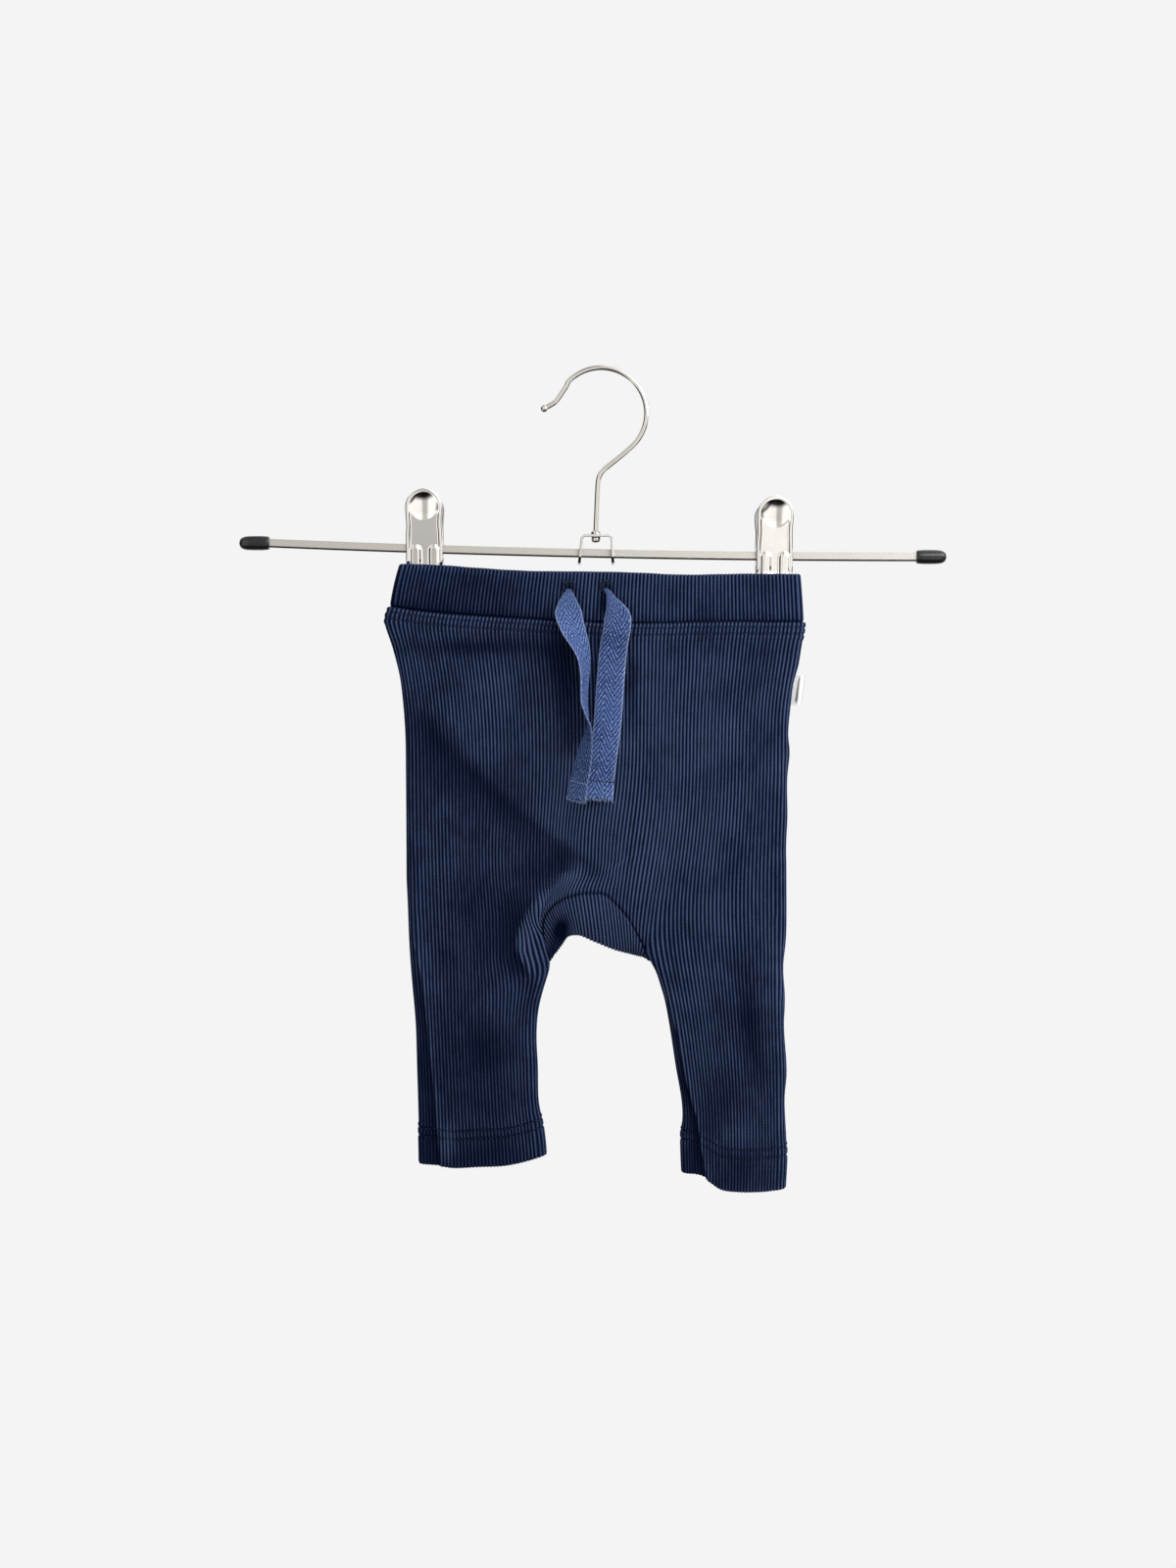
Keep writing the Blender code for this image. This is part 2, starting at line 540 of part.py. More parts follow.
def leg_panel(name, side, body_rows, leg_rows, relief):
    """The front or back of the leggings, both legs in one piece."""
    per_rib = 2
    first, last, count = panel_columns(per_rib)
    points, normal, lift, body = panel_surface(side, per_rib, body_rows, leg_rows, relief, 2.2)
    ribs = rib_heights(count, per_rib)[None, :] + BAND_LIFT * lift[:, None]
    wall = Wall(points + normal * (WALL / 2 + ribs)[..., None], points - normal * WALL / 2)
    left = sorted(set(spread(0, first, 6, (0,)) + spread(first - 8, first, 6, (first,), TIP)))
    crotch = spread(first, last, 4, (first, last), TIP)
    right = sorted(set(spread(last + 8, count, 6, (count,)) + spread(last, last + 8, 6, (last,), TIP)))
    body_numbers = list(range(body + 1))
    leg_numbers = list(range(body, len(lift)))
    plain_body = [0] + body_numbers[3:]
    plain_leg = leg_numbers[:-2] + leg_numbers[-1:]
    every = list(range(count + 1))
    wall.patch("outer", body_numbers, every)
    wall.patch("inner", plain_body, left + crotch[1:] + right[1:])
    for fine, coarse in ((every[: first + 1], left), (every[last:], right)):
        wall.patch("outer", leg_numbers, fine)
        wall.patch("inner", plain_leg, coarse)
        wall.rim(along_row(leg_numbers[-1], fine), along_row(leg_numbers[-1], coarse))
    wall.rim(along_row(0, every), along_row(0, left + crotch[1:] + right[1:]))
    wall.rim(along_row(body, every[first : last + 1]), along_row(body, crotch))
    sides = (body_numbers + leg_numbers[1:], plain_body + plain_leg[1:])
    for column, (rows, plain) in ((0, sides), (first, (leg_numbers, plain_leg)),
                                  (last, (leg_numbers, plain_leg)), (count, sides)):
        wall.rim(down_rows(rows, column), down_rows(plain, column))
    return wall.build(name, cloth())


# --------------------------------------------------------------- the gusset
def panel_edge(shares, side, per_rib):
    """Points and normals along a panel's own edge: its seam, then down the inner folds."""
    knots = np.linspace(0, 1, CROTCH_RIBS * per_rib + 1)
    points, normal = gusset_seam(knots, side)
    tips = [leg_row("left", side, 0, [1.0]), leg_row("right", side, 0, [0.0])]
    knots = np.concatenate([[-1], knots, [2]])
    points = np.vstack([tips[0][0], points, tips[1][0]])
    normal = np.vstack([tips[0][1], normal, tips[1][1]])
    points = np.column_stack([np.interp(shares, knots, points[:, k]) for k in range(3)])
    normal = np.column_stack([np.interp(shares, knots, normal[:, k]) for k in range(3)])
    return points, unit(normal)


def gusset_surface(shares, angles, per_rib):
    """Middle surface of the crotch piece, from the front seam, under, to the back seam."""
    front, front_normal = panel_edge(shares, -1, per_rib)
    back, back_normal = panel_edge(shares, 1, per_rib)
    fold_x = read(GUSSET_FOLD, "x", shares, "share")
    fold_z = read(GUSSET_FOLD, "z", shares, "share")
    fold = np.column_stack([fold_x, np.full_like(fold_x, MID_Y), fold_z])
    tip = np.clip(np.maximum(-shares, shares - 1) * 1.4, 0, 1)[:, None]
    beyond = np.clip(np.maximum(-shares, shares - 1), 0, 1)[:, None]
    room = GAP + 1.7 * beyond * (1 - beyond)
    front = front + room * unit(np.cross(np.gradient(front, axis=0), front_normal))
    back = back - room * unit(np.cross(np.gradient(back, axis=0), back_normal))
    rows = []
    for angle in angles:
        edge = front if angle <= 90 else back
        swing = math.radians(angle)
        across = np.abs(math.cos(swing))
        drop = math.sin(swing)
        row = edge * (1 - drop) + fold * drop
        row[:, 1] = MID_Y + (edge[:, 1] - MID_Y) * across
        rows.append(row)
    points = np.array(rows)
    normal = -surface_normals(points, 1)
    normal[0], normal[-1] = front_normal, back_normal
    lengthwise = unit(np.gradient(fold, axis=0))[None]
    plain = unit(np.cross(np.gradient(points, axis=0), lengthwise))
    normal[1:-1] = unit(normal[1:-1] * (1 - tip) + plain[1:-1] * tip)
    return points, normal, 1 - 0.65 * tip[:, 0]


def gusset():
    """The curved piece let in at the crotch, with its ribs running front to back."""
    per_rib = 2
    seam_columns = CROTCH_RIBS * per_rib
    tip = np.array([0.25, 0.5, 0.72])
    shares = np.concatenate([-tip[::-1], np.linspace(0, 1, seam_columns + 1), 1 + tip])
    angles = [0, 42, 90, 130, 180]
    points, normal, thin = gusset_surface(shares, angles, per_rib)
    away = np.hypot(points[..., 0] - GUSSET_POCKET["x"], points[..., 2] - GUSSET_POCKET["z"])
    dent = GUSSET_POCKET["height"] * np.exp(-((away / GUSSET_POCKET["width"]) ** 2))
    dent = dent * (normal[..., 1] < -0.2)
    dent[0] = 0
    points = points + normal * dent[..., None]
    ribs = rib_heights(len(shares) - 1, per_rib)
    outer, inner = ((thin * h)[None, :, None] for h in (WALL / 2 + ribs, WALL / 2))
    wall = Wall(points + normal * outer, points - normal * inner)
    rows, fine = list(range(len(angles))), list(range(len(shares)))
    coarse = spread(0, fine[-1], 4, (0, fine[-1]), TIP)
    wall.patch("outer", rows, fine)
    wall.patch("inner", rows, coarse)
    for row in (0, rows[-1]):
        wall.rim(along_row(row, fine), along_row(row, coarse))
    for column in (0, fine[-1]):
        wall.rim(down_rows(rows, column), down_rows(rows, column))
    return wall.build("gusset", cloth())


# --------------------------------------------------------------- the waistband
def waistband_row(share, per_rib):
    """The whole ring at a share of the way down the waistband, front then back."""
    rows = []
    shares = np.linspace(0, 1, HALF_RIBS * per_rib + 1)
    for side in (-1, 1):
        across = np.linspace(-99, 99, len(shares))
        top = read(WAIST_TOP, "z", across, "x")
        if side > 0:
            top = top + 1.7 * np.exp(-((across / 45) ** 2))  # the back stands a little higher
        z = top + share * (waist_seam(shares) - top)
        inset = BAND_WALL / 2 + RIB / 2
        left = float(read(WAIST_SIDES, "left", z[0])) + inset
        right = float(read(WAIST_SIDES, "right", z[-1])) - inset
        swell = WAIST_SECTION["front" if side < 0 else "back"]
        x, y, normal = half_section(left, right, BAND_CORNER, swell, WAIST_SECTION["reach"],
                                    side, shares)
        rows.append((np.column_stack([x, y, z]), normal))
    front, back = rows
    return tuple(np.vstack([f[:-1], b[::-1][:-1]]) for f, b in zip(front, back))


def waistband():
    """One ribbed ring, open at the top and bottom, with two eyelets at the front."""
    per_rib = 2
    shares = [0, 1]
    made = [waistband_row(s, per_rib) for s in shares]
    points = np.array([p for p, _ in made])
    normal = np.array([n for _, n in made])
    count = points.shape[1]
    half = count // 2
    ribs = np.tile(rib_heights(count - 1, per_rib), (len(shares), 1))
    wall = Wall(points + normal * (BAND_WALL / 2 + ribs)[..., None],
                points - normal * BAND_WALL / 2)
    rows = list(range(len(shares)))
    fine = list(range(count)) + [0]
    coarse = spread(0, count - 1, 8, dense=(0, half, count))
    coarse = [n for n in coarse if n < count - 1] + [0]
    wall.patch("outer", rows, fine)
    wall.patch("inner", [0, rows[-1]], coarse)
    for row in (0, rows[-1]):
        closed_rim(wall, row, fine, coarse)
    band = wall.build("waistband", material("ribbed_waistband", NAVY_BAND, 0.9))
    for x in EYELETS.values():
        cut(band, cylinder("eyelet_cutter", EYELET_R, 12, (x, MID_Y - 6.6, EYELET_Z), "y"))
    return band


def closed_rim(wall, row, fine, coarse):
    """The rim of a ring, whose last column is its first again."""
    turns = len(fine) - 1
    places = coarse[:-1] + [turns]
    for k in range(len(coarse) - 1):
        start, end = places[k], places[k + 1]
        run = [(row, fine[i]) for i in range(start, end + 1)]
        wall.rim(run, [(row, coarse[k]), (row, coarse[k + 1])])


# ------------------------------------------------------------ cutters and joins
def cylinder(name, radius, length, centre, axis, sides=16):
    """A plain round bar along x, y or z."""
    mesh = bpy.data.meshes.new(name)
    work = bmesh.new()
    bmesh.ops.create_cone(work, cap_ends=True, segments=sides, radius1=radius * MM,
                          radius2=radius * MM, depth=length * MM)
    work.to_mesh(mesh)
    work.free()
    obj = bpy.data.objects.new(name, mesh)
    bpy.context.scene.collection.objects.link(obj)
    obj.rotation_euler = {"x": (0, math.pi / 2, 0), "y": (math.pi / 2, 0, 0), "z": (0, 0, 0)}[axis]
    obj.location = [MM * v for v in centre]
    return obj


def block(name, low, high):
    """A box between two corners."""
    corners = [(x, y, z) for x in (low[0], high[0]) for y in (low[1], high[1])
               for z in (low[2], high[2])]
    faces = [(0, 1, 3, 2), (4, 6, 7, 5), (0, 4, 5, 1), (2, 3, 7, 6), (0, 2, 6, 4), (1, 5, 7, 3)]
    mesh = mesh_of(name, corners, faces)
    obj = bpy.data.objects.new(name, mesh)
    bpy.context.scene.collection.objects.link(obj)
    return obj


def cut(body, cutter, operation="DIFFERENCE"):
    """Takes the cutter away from a body, or joins it on."""
    cutter.hide_render = True
    cutter.display_type = "WIRE"
    step = body.modifiers.new("cut", "BOOLEAN")
    step.operation = operation
    step.solver = "EXACT"
    step.object = cutter


# ------------------------------------------------------------- drawstring, label
def cloth_front(x, z):
    """y of the ribs' crests at the middle of the garment's front."""
    if z > -124:
        return MID_Y - BAND_CORNER - WAIST_SECTION["front"] - BAND_WALL / 2 - RIB
    corner, swell, _ = section_row(BODY_SECTIONS, z, -1)
    lift = BAND_LIFT if z > -133 else 0.0
    lean = swell * (1 - (1 - (x / 90) ** 2) ** 2)
    return MID_Y - corner - swell + lean - SKIN - lift


# Each tape: the height and x of its middle, how far it stands off the cloth, how far it is
# turned about its length, and its width where it bunches in the eyelet.
TAPES = {
    "left": table(
        "z x off turn width",
        (EYELET_Z, EYELETS["left"], -2.4, 0, 3.0), (EYELET_Z, EYELETS["left"], 1.2, 0, 3.0),
        (-109.4, -15.1, 3.0, 0, 5.0), (-114.5, -15.0, 3.4, 4, 10.5),
        (-121.0, -14.8, 3.2, 12, TAPE_WIDTH), (-129.0, -12.4, 4.6, 30, TAPE_WIDTH),
        (-136.0, -9.4, 6.6, 49, TAPE_WIDTH), (-142.5, -7.8, 7.6, 63, TAPE_WIDTH),
        (-151.0, -7.6, 8.0, 72, TAPE_WIDTH), (-163.0, -7.9, 8.1, 77, TAPE_WIDTH),
        (-170.0, -6.6, 8.2, 84, TAPE_WIDTH), (-176.0, -5.6, 8.4, 98, TAPE_WIDTH),
        (-183.0, -6.6, 8.2, 115, TAPE_WIDTH), (-193.0, -8.4, 7.6, 128, TAPE_WIDTH),
        (-202.0, -10.4, 7.0, 133, TAPE_WIDTH), (-210.5, -11.5, 6.6, 134, TAPE_WIDTH)),
    "right": table(
        "z x off turn width",
        (EYELET_Z, EYELETS["right"], -2.4, 0, 3.0), (EYELET_Z, EYELETS["right"], 1.2, 0, 3.0),
        (-109.4, 4.4, 2.6, 0, 5.0), (-114.5, 7.2, 2.8, 0, 10.5),
        (-121.0, 9.2, 2.4, -8, TAPE_WIDTH), (-129.0, 8.2, 2.2, -10, TAPE_WIDTH),
        (-136.0, 6.7, 2.0, -8, TAPE_WIDTH), (-148.0, 5.5, 1.6, -4, TAPE_WIDTH),
        (-163.0, 4.4, 1.5, 0, TAPE_WIDTH), (-174.0, 3.6, 1.5, 2, TAPE_WIDTH),
        (-184.0, 2.4, 1.5, 4, TAPE_WIDTH), (-194.0, 1.0, 1.6, 4, TAPE_WIDTH),
        (-202.0, 0.0, 1.7, 3, TAPE_WIDTH), (-210.0, -0.6, 1.9, 2, TAPE_WIDTH)),
}


def drawstring(side):
    """A flat tape out of its eyelet and down the front, with one free end."""
    rows = TAPES[side]
    middle = np.array([(x, cloth_front(x, min(z, -107)) - off, z)
                       for x, z, off in zip(rows["x"], rows["z"], rows["off"])])
    along = unit(np.gradient(middle, axis=0))
    turn = np.radians(rows["turn"])
    width = np.column_stack([np.cos(turn), np.sin(turn), np.zeros_like(turn)])
    width = unit(width - along * np.sum(width * along, axis=1, keepdims=True))
    face = np.cross(along, width)
    points, faces = [], []
    for centre, w, f, size in zip(middle, width, face, rows["width"]):
        for a, b in ((-0.5, -0.5), (0.5, -0.5), (0.5, 0.5), (-0.5, 0.5)):
            points.append(centre + a * size * w + b * TAPE_THICK * f)
    for k in range(len(middle) - 1):
        for a in range(4):
            b = (a + 1) % 4
            faces.append([4 * k + a, 4 * k + b, 4 * k + 4 + b, 4 * k + 4 + a])
    end = 4 * (len(middle) - 1)
    faces += [[3, 2, 1, 0], [end, end + 1, end + 2, end + 3]]
    name = f"drawstring_{side}"
    return add_object(name, mesh_of(name, points, faces), material("twill_tape", TAPE_BLUE, 0.85))


def side_label():
    """A small bare white loop let into the right side seam."""
    top, bottom = LABEL_TOP, LABEL_BOTTOM
    edge = [float(read(BODY_SIDES, "right", z)) + LABEL_CLEAR for z in (top, bottom)]
    front, back = MID_Y - LABEL_THICK / 2, MID_Y + LABEL_THICK / 2
    outline = ((edge[0], top), (LABEL_REACH["top"], top - 0.6),
               (LABEL_REACH["bottom"], bottom - 0.5), (edge[1], bottom))
    points = [(x, y, z) for y in (front, back) for x, z in outline]
    faces = [(0, 1, 2, 3), (7, 6, 5, 4)] + [(k, k + 4, (k + 1) % 4 + 4, (k + 1) % 4)
                                            for k in range(4)]
    return add_object("side_label", mesh_of("side_label", points, faces),
                      material("label_cloth", LABEL_WHITE, 0.8))


# ------------------------------------------------------------------- the hanger
def bar_z(x):
    """Height of the bar's middle: it leans to the right and sags a little."""
    return BAR_MIDDLE_Z + BAR_SLOPE * x + BAR_SAG * x * x


def hanger_bar():
    points, faces = [], []
    stations = np.linspace(*BAR_ENDS, 11)
    for x in stations:
        for y, rise in ((-1, -1), (1, -1), (1, 1), (-1, 1)):
            points.append((x, y * BAR_DEPTH / 2, bar_z(x) + rise * BAR_HEIGHT / 2))
    for k in range(len(stations) - 1):
        for a in range(4):
            b = (a + 1) % 4
            faces.append([4 * k + a, 4 * k + b, 4 * k + 4 + b, 4 * k + 4 + a])
    end = 4 * (len(stations) - 1)
    faces += [[3, 2, 1, 0], [end, end + 1, end + 2, end + 3]]
    return add_object("hanger_bar", mesh_of("hanger_bar", points, faces), steel())


def end_cap(side):
    """A rounded rubber cap pushed over the end of the bar."""
    outwards = -1 if side == "left" else 1
    mouth = CAP_MOUTHS[side]
    bar_end = BAR_ENDS[0] if side == "left" else BAR_ENDS[1]
    z = float(bar_z(mouth))
    rings = []
    for share, size in ((0, 0.80), (0.12, 0.97), (0.5, 1.0), (0.8, 0.95), (0.94, 0.72), (1, 0.42)):
        x = mouth + outwards * CAP_LENGTH * share
        rings.append([(x, 0.5 * CAP_DEPTH * size * math.cos(a), z + 0.5 * CAP_HEIGHT * size
                       * math.sin(a)) for a in np.linspace(0, 2 * math.pi, 13)[:-1]])
    cap = rounded(loft(f"end_cap_{side}", rings, material("cap_rubber", RUBBER_BLACK, 0.2)))
    low, high = sorted((mouth - outwards * 2, bar_end + outwards * GAP))
    hole_z = sorted((float(bar_z(low)), float(bar_z(high))))
    half = BAR_HEIGHT / 2 + GAP
    cut(cap, block("cap_cutter", (low, -BAR_DEPTH / 2 - GAP, hole_z[0] - half),
                   (high, BAR_DEPTH / 2 + GAP, hole_z[1] + half)))
    return cap


def loft(name, rings, finish):
    """A closed solid through rings of the same number of points."""
    size = len(rings[0])
    points = [p for ring in rings for p in ring]
    faces = []
    for k in range(len(rings) - 1):
        for a in range(size):
            b = (a + 1) % size
            faces.append([size * k + a, size * k + b, size * (k + 1) + b, size * (k + 1) + a])
    end = size * (len(rings) - 1)
    faces += [list(range(size)), [end + a for a in range(size)]]
    return add_object(name, mesh_of(name, points, faces), finish)


def hook_line():
    """The wire's middle line from its ball tip to its riveted foot, with a radius each."""
    line = [(-27.9, -19.2, 0.9), (-27.2, -18.7, 1.9), (-25.9, -17.9, 1.9), (-25.1, -17.5, WIRE_R),
            (-21.9, -15.6, WIRE_R), (-20.9, -14.6, WIRE_R), (-16.4, -7.8, WIRE_R)]
    for angle in np.linspace(136, -50, 17):
        a = math.radians(angle)
        line.append((HOOK_CENTRE[0] + HOOK_R * math.cos(a), HOOK_CENTRE[1] + HOOK_R * math.sin(a),
                     WIRE_R))
    line += [(4.8, -46.6, WIRE_R), (2.2, -48.6, WIRE_R), (0.2, -50.6, WIRE_R),
             (-0.7, -53.4, WIRE_R)]
    collar_top, plate = -79.0, BRACKET_TOP
    line += [(STEM_X, collar_top, WIRE_R), (STEM_X, collar_top - 0.4, COLLAR_R),
             (STEM_X, plate + GAP, COLLAR_R), (STEM_X, plate + GAP - 0.05, WIRE_R),
             (STEM_X, plate - SHEET - GAP, WIRE_R), (STEM_X, plate - SHEET - GAP - 0.05, RIVET_R),
             (STEM_X, plate - SHEET - GAP - 1.5, RIVET_R), (STEM_X, plate - SHEET - 2.4, 1.4)]
    return np.array(line)


def hanger_hook():
    """Bent wire with a ball tip, a collar above the bracket and a rivet head under it."""
    line = hook_line()
    middle = np.column_stack([line[:, 0], np.zeros(len(line)), line[:, 1]])
    steps = np.diff(middle, axis=0)
    along = unit(np.vstack([steps[:1], unit(steps[:-1]) + unit(steps[1:]), steps[-1:]]))
    across = np.array((0.0, 1.0, 0.0))
    rings = []
    for centre, direction, radius in zip(middle, along, line[:, 2]):
        sideways = np.cross(direction, across)
        rings.append([centre + radius * (math.cos(a) * across + math.sin(a) * sideways)
                      for a in np.linspace(0, 2 * math.pi, 9)[:-1]])
    return rounded(loft("hanger_hook", rings, steel()))


def hook_bracket():
    """A folded steel strip whose two legs carry the bar."""
    left, right = STEM_X - BRACKET_WIDTH / 2 + 0.6, STEM_X + BRACKET_WIDTH / 2 + 0.6
    splay, top, tip = 1.3, BRACKET_TOP, BRACKET_TIP
    outside = [(left - splay - 0.6, tip), (left - 0.3, top - 1.4), (left + 1.0, top),
               (right - 1.0, top), (right + 0.3, top - 1.4), (right + 0.9, tip)]
    inside = [(right + 0.9 - SHEET, tip), (right - 1.0, top - SHEET - 0.6),
              (right - 1.7, top - SHEET), (left + 1.7, top - SHEET),
              (left + 1.0, top - SHEET - 0.6), (left - splay - 0.6 + SHEET, tip)]
    rings = [[(x, y, z) for x, z in outside + inside]
             for y in (-BRACKET_DEPTH / 2, BRACKET_DEPTH / 2)]
    bracket = loft("hook_bracket", rings, steel())
    slot_z = float(bar_z(STEM_X))
    half = BAR_HEIGHT / 2 + GAP + 0.25
    cut(bracket, block("bar_slot_cutter", (left - 6, -BAR_DEPTH / 2 - GAP, slot_z - half),
                       (right + 6, BAR_DEPTH / 2 + GAP, slot_z + half)))
    cut(bracket, cylinder("stem_hole_cutter", WIRE_R + GAP, 6, (STEM_X, 0, top), "z"))
    return bracket


def clip_half(side, face):
    """One pressed half of a clip. The back half is the front one turned round."""
    centre_x = CLIP_X[side]
    level = float(bar_z(centre_x))
    facing = -1 if face == "front" else 1
    rows = CLIP_HALF
    jaw = {"front": 0.0, "back": BACK_JAW}[face]
    outer, inner = [], []
    across = (-1, -0.5, 0, 0.5, 1)
    for k, rise in enumerate(rows["rise"]):
        half, out = rows["half_width"][k], rows["front"][k]
        out = out + jaw * float(smooth((-rise - 4.0) / 4.6))
        z = level + rise
        outside, inside = [], []
        bulge = [0, rows["ribs"][k] + rows["dish"][k] * 0.6, rows["dish"][k],
                 rows["ribs"][k] + rows["dish"][k] * 0.6, 0]
        turned = rows["sides"][k]
        outside.append((-half, out - turned))
        inside.append((-half + CLIP_SHEET, out - turned))
        for share, extra in zip(across, bulge):
            outside.append((share * half, out + extra))
            inside.append((share * (half - CLIP_SHEET), out + extra - CLIP_SHEET))
        outside.append((half, out - turned))
        inside.append((half - CLIP_SHEET, out - turned))
        outer.append([(centre_x + x, facing * y, z) for x, y in outside])
        inner.append([(centre_x + x, facing * y, z) for x, y in inside])
    wall = Wall(np.array(outer), np.array(inner))
    numbers, columns = list(range(len(outer))), list(range(len(outer[0])))
    wall.patch("outer", numbers, columns)
    wall.patch("inner", numbers, columns)
    for row in (0, numbers[-1]):
        wall.rim(along_row(row, columns), along_row(row, columns))
    for column in (0, columns[-1]):
        wall.rim(down_rows(numbers, column), down_rows(numbers, column))
    half_clip = wall.build(f"clip_{side}_{face}", steel())
    reach = CLIP_HALF_WIDTH + 2
    clear = BAR_DEPTH / 2 + GAP
    slope = abs(BAR_SLOPE) * reach
    cut(half_clip, block("bar_notch_cutter",
                         (centre_x - reach, -clear, level - BAR_HEIGHT / 2 - GAP - slope),
                         (centre_x + reach, clear, level + BAR_HEIGHT / 2 + GAP + slope)))
    return half_clip


def clip_spring(side):
    """The barrel of the coil spring between the two halves, just above the bar."""
    centre = (CLIP_X[side], 0, float(bar_z(CLIP_X[side])) + SPRING_RISE)
    obj = cylinder(f"clip_{side}_spring", SPRING_R, SPRING_LENGTH, centre, "x", sides=12)
    obj.data.materials.append(steel())
    return rounded(obj)


def build():
    for obj in list(bpy.data.objects):
        bpy.data.objects.remove(obj)
    waistband()
    leg_panel("front_panel", -1, BODY_ROWS, LEG_ROWS, front_relief)
    leg_panel("back_panel", 1, BACK_BODY_ROWS, LEG_ROWS, back_relief)
    gusset()
    side_label()
    hanger_bar()
    hanger_hook()
    hook_bracket()
    for side in ("left", "right"):
        drawstring(side)
        end_cap(side)
        clip_half(side, "front")
        clip_half(side, "back")
        clip_spring(side)


build()
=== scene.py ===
"""Looks of the ribbed leggings on their clip hanger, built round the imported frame.

Lengths are in millimetres in the frame's own axes and are turned into metres when a mesh is
made: +Z is up, the garment's front faces -Y and the origin is where the wire hook bears.
Each cloth piece is a thin wall through the same sections as its solid, with ribs, seams,
turned hems and finer creases raised in its outer face.
"""

import math

import bmesh
import bpy
import numpy as np
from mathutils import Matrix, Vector


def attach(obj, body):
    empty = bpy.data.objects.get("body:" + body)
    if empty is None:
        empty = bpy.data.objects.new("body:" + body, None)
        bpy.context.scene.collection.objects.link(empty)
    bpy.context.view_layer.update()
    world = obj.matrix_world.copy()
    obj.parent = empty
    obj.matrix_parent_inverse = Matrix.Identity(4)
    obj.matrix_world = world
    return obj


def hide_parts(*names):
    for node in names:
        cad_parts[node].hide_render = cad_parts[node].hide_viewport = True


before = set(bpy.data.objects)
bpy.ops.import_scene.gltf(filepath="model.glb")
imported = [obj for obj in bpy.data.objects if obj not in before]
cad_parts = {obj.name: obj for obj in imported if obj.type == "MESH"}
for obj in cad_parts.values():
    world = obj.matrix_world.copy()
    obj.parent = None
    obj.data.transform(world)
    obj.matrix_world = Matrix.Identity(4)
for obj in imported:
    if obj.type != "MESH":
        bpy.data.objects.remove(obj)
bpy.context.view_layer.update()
MM = 0.001

GAP = 0.3  # clearance between neighbouring pieces

# ---------------------------------------------------------------- cloth sizes
WALL = 1.4  # knit between the ribs
RIB = 0.5  # height of a rib
BAND_WALL = 2.0  # the waistband is a doubled strip
BAND_LIFT = 0.5  # seam allowance under the topstitched band and the turned hems
SKIN = WALL / 2 + RIB  # from a panel's middle surface to its ribs' crests
LEFT_RIBS, CROTCH_RIBS, RIGHT_RIBS = 38, 36, 36
HALF_RIBS = LEFT_RIBS + CROTCH_RIBS + RIGHT_RIBS
MID_Y = -2.2  # the plane of the side seams and inseams
BAND_CORNER = 2.4  # radius of the folds at the waistband's two sides
EYELET_R = 2.3
EYELETS = {"left": -15.0, "right": 3.1}  # x of each drawstring eyelet
EYELET_Z = -107.2
TAPE_WIDTH, TAPE_THICK = 13.5, 1.0
LABEL_TOP, LABEL_BOTTOM = -149.6, -164.2
LABEL_REACH = {"top": 100.6, "bottom": 98.6}


def table(columns, *rows):
    """A short table as one array for each named column."""
    return dict(zip(columns.split(), np.array(rows, float).T))


# ------------------------------------------------------- outlines, as x or z in mm
WAIST_TOP = table("x z", (-98, -95.4), (-78, -96.0), (-59, -97.4), (-39, -98.9),
                  (-14, -99.6), (24, -100.3), (42, -100.8), (75, -100.2), (98, -100.2))
WAIST_SEAM = table("x z", (-103, -115.6), (-88, -118.1), (-65, -120.5), (-37, -122.4),
                   (-2, -124.3), (21, -124.8), (56, -123.9), (99, -123.8))
SEAM_START, SEAM_SPAN = -101, 200  # x of the waist seam's left end, and its width
WAIST_SIDES = table("z left right", (-94, -98.0, 98.0), (-105, -100.2, 98.7),
                    (-125, -102.6, 99.8))
BODY_SIDES = table(
    "z left right",
    (-116, -103.6, 100.0), (-123, -105.3, 100.6), (-132, -102.9, 99.4), (-146, -98.8, 97.0),
    (-152, -97.6, 95.0), (-164, -96.4, 93.5), (-180, -95.3, 92.2), (-186, -95.1, 93.1),
    (-203, -94.9, 91.6), (-219, -94.8, 92.0), (-235, -94.6, 91.1), (-251, -94.2, 91.3),
    (-279, -93.4, 91.0), (-293, -92.6, 89.6), (-312, -91.0, 90.5), (-319, -90.4, 90.0),
    (-344, -89.6, 91.4), (-357, -89.2, 90.3), (-382, -88.6, 91.3), (-403, -88.4, 90.4))
INSEAMS = table(
    "z left right",
    (-289.4, -24.0, 24.3), (-294, -24.8, 27.2), (-301, -26.9, 29.5), (-308, -28.9, 31.7),
    (-315.5, -30.4, 33.2), (-327, -31.1, 35.1), (-342, -30.4, 37.4), (-358, -30.0, 40.2),
    (-366, -28.6, 40.7), (-374, -27.4, 39.9), (-384, -26.5, 40.1), (-395, -26.3, 40.6))
HEMS = {
    "left": table("x z", (-88, -389.4), (-78, -390.0), (-71, -390.7), (-60, -390.0),
                  (-46, -389.4), (-36, -387.4), (-27, -384.6)),
    "right": table("x z", (41, -393.8), (50, -395.2), (54, -398.0), (59, -401.2),
                   (67, -402.4), (78, -402.7), (90, -401.6)),
}
INWARDS = {"left": 1, "right": -1}  # from a leg's outer side to its inner one
# The gusset's seam on the front between the two places where it runs on down the legs'
# inner folds, and its two pointed ends on the inseams. Depth is from the middle plane.
GUSSET_SEAM = table(
    "x z depth",
    (-27.6, -277.0, 4.1), (-27.3, -268.6, 5.2), (-23.1, -262.4, 5.9), (-17.0, -258.6, 6.4),
    (-10.9, -256.9, 6.6), (-4.0, -256.4, 6.7), (2.5, -257.0, 6.6), (7.8, -261.6, 6.4),
    (13.4, -268.0, 6.0), (19.2, -278.0, 4.6), (22.3, -284.5, 3.2))
GUSSET_TIPS = {"left": -291.4, "right": -291.2}
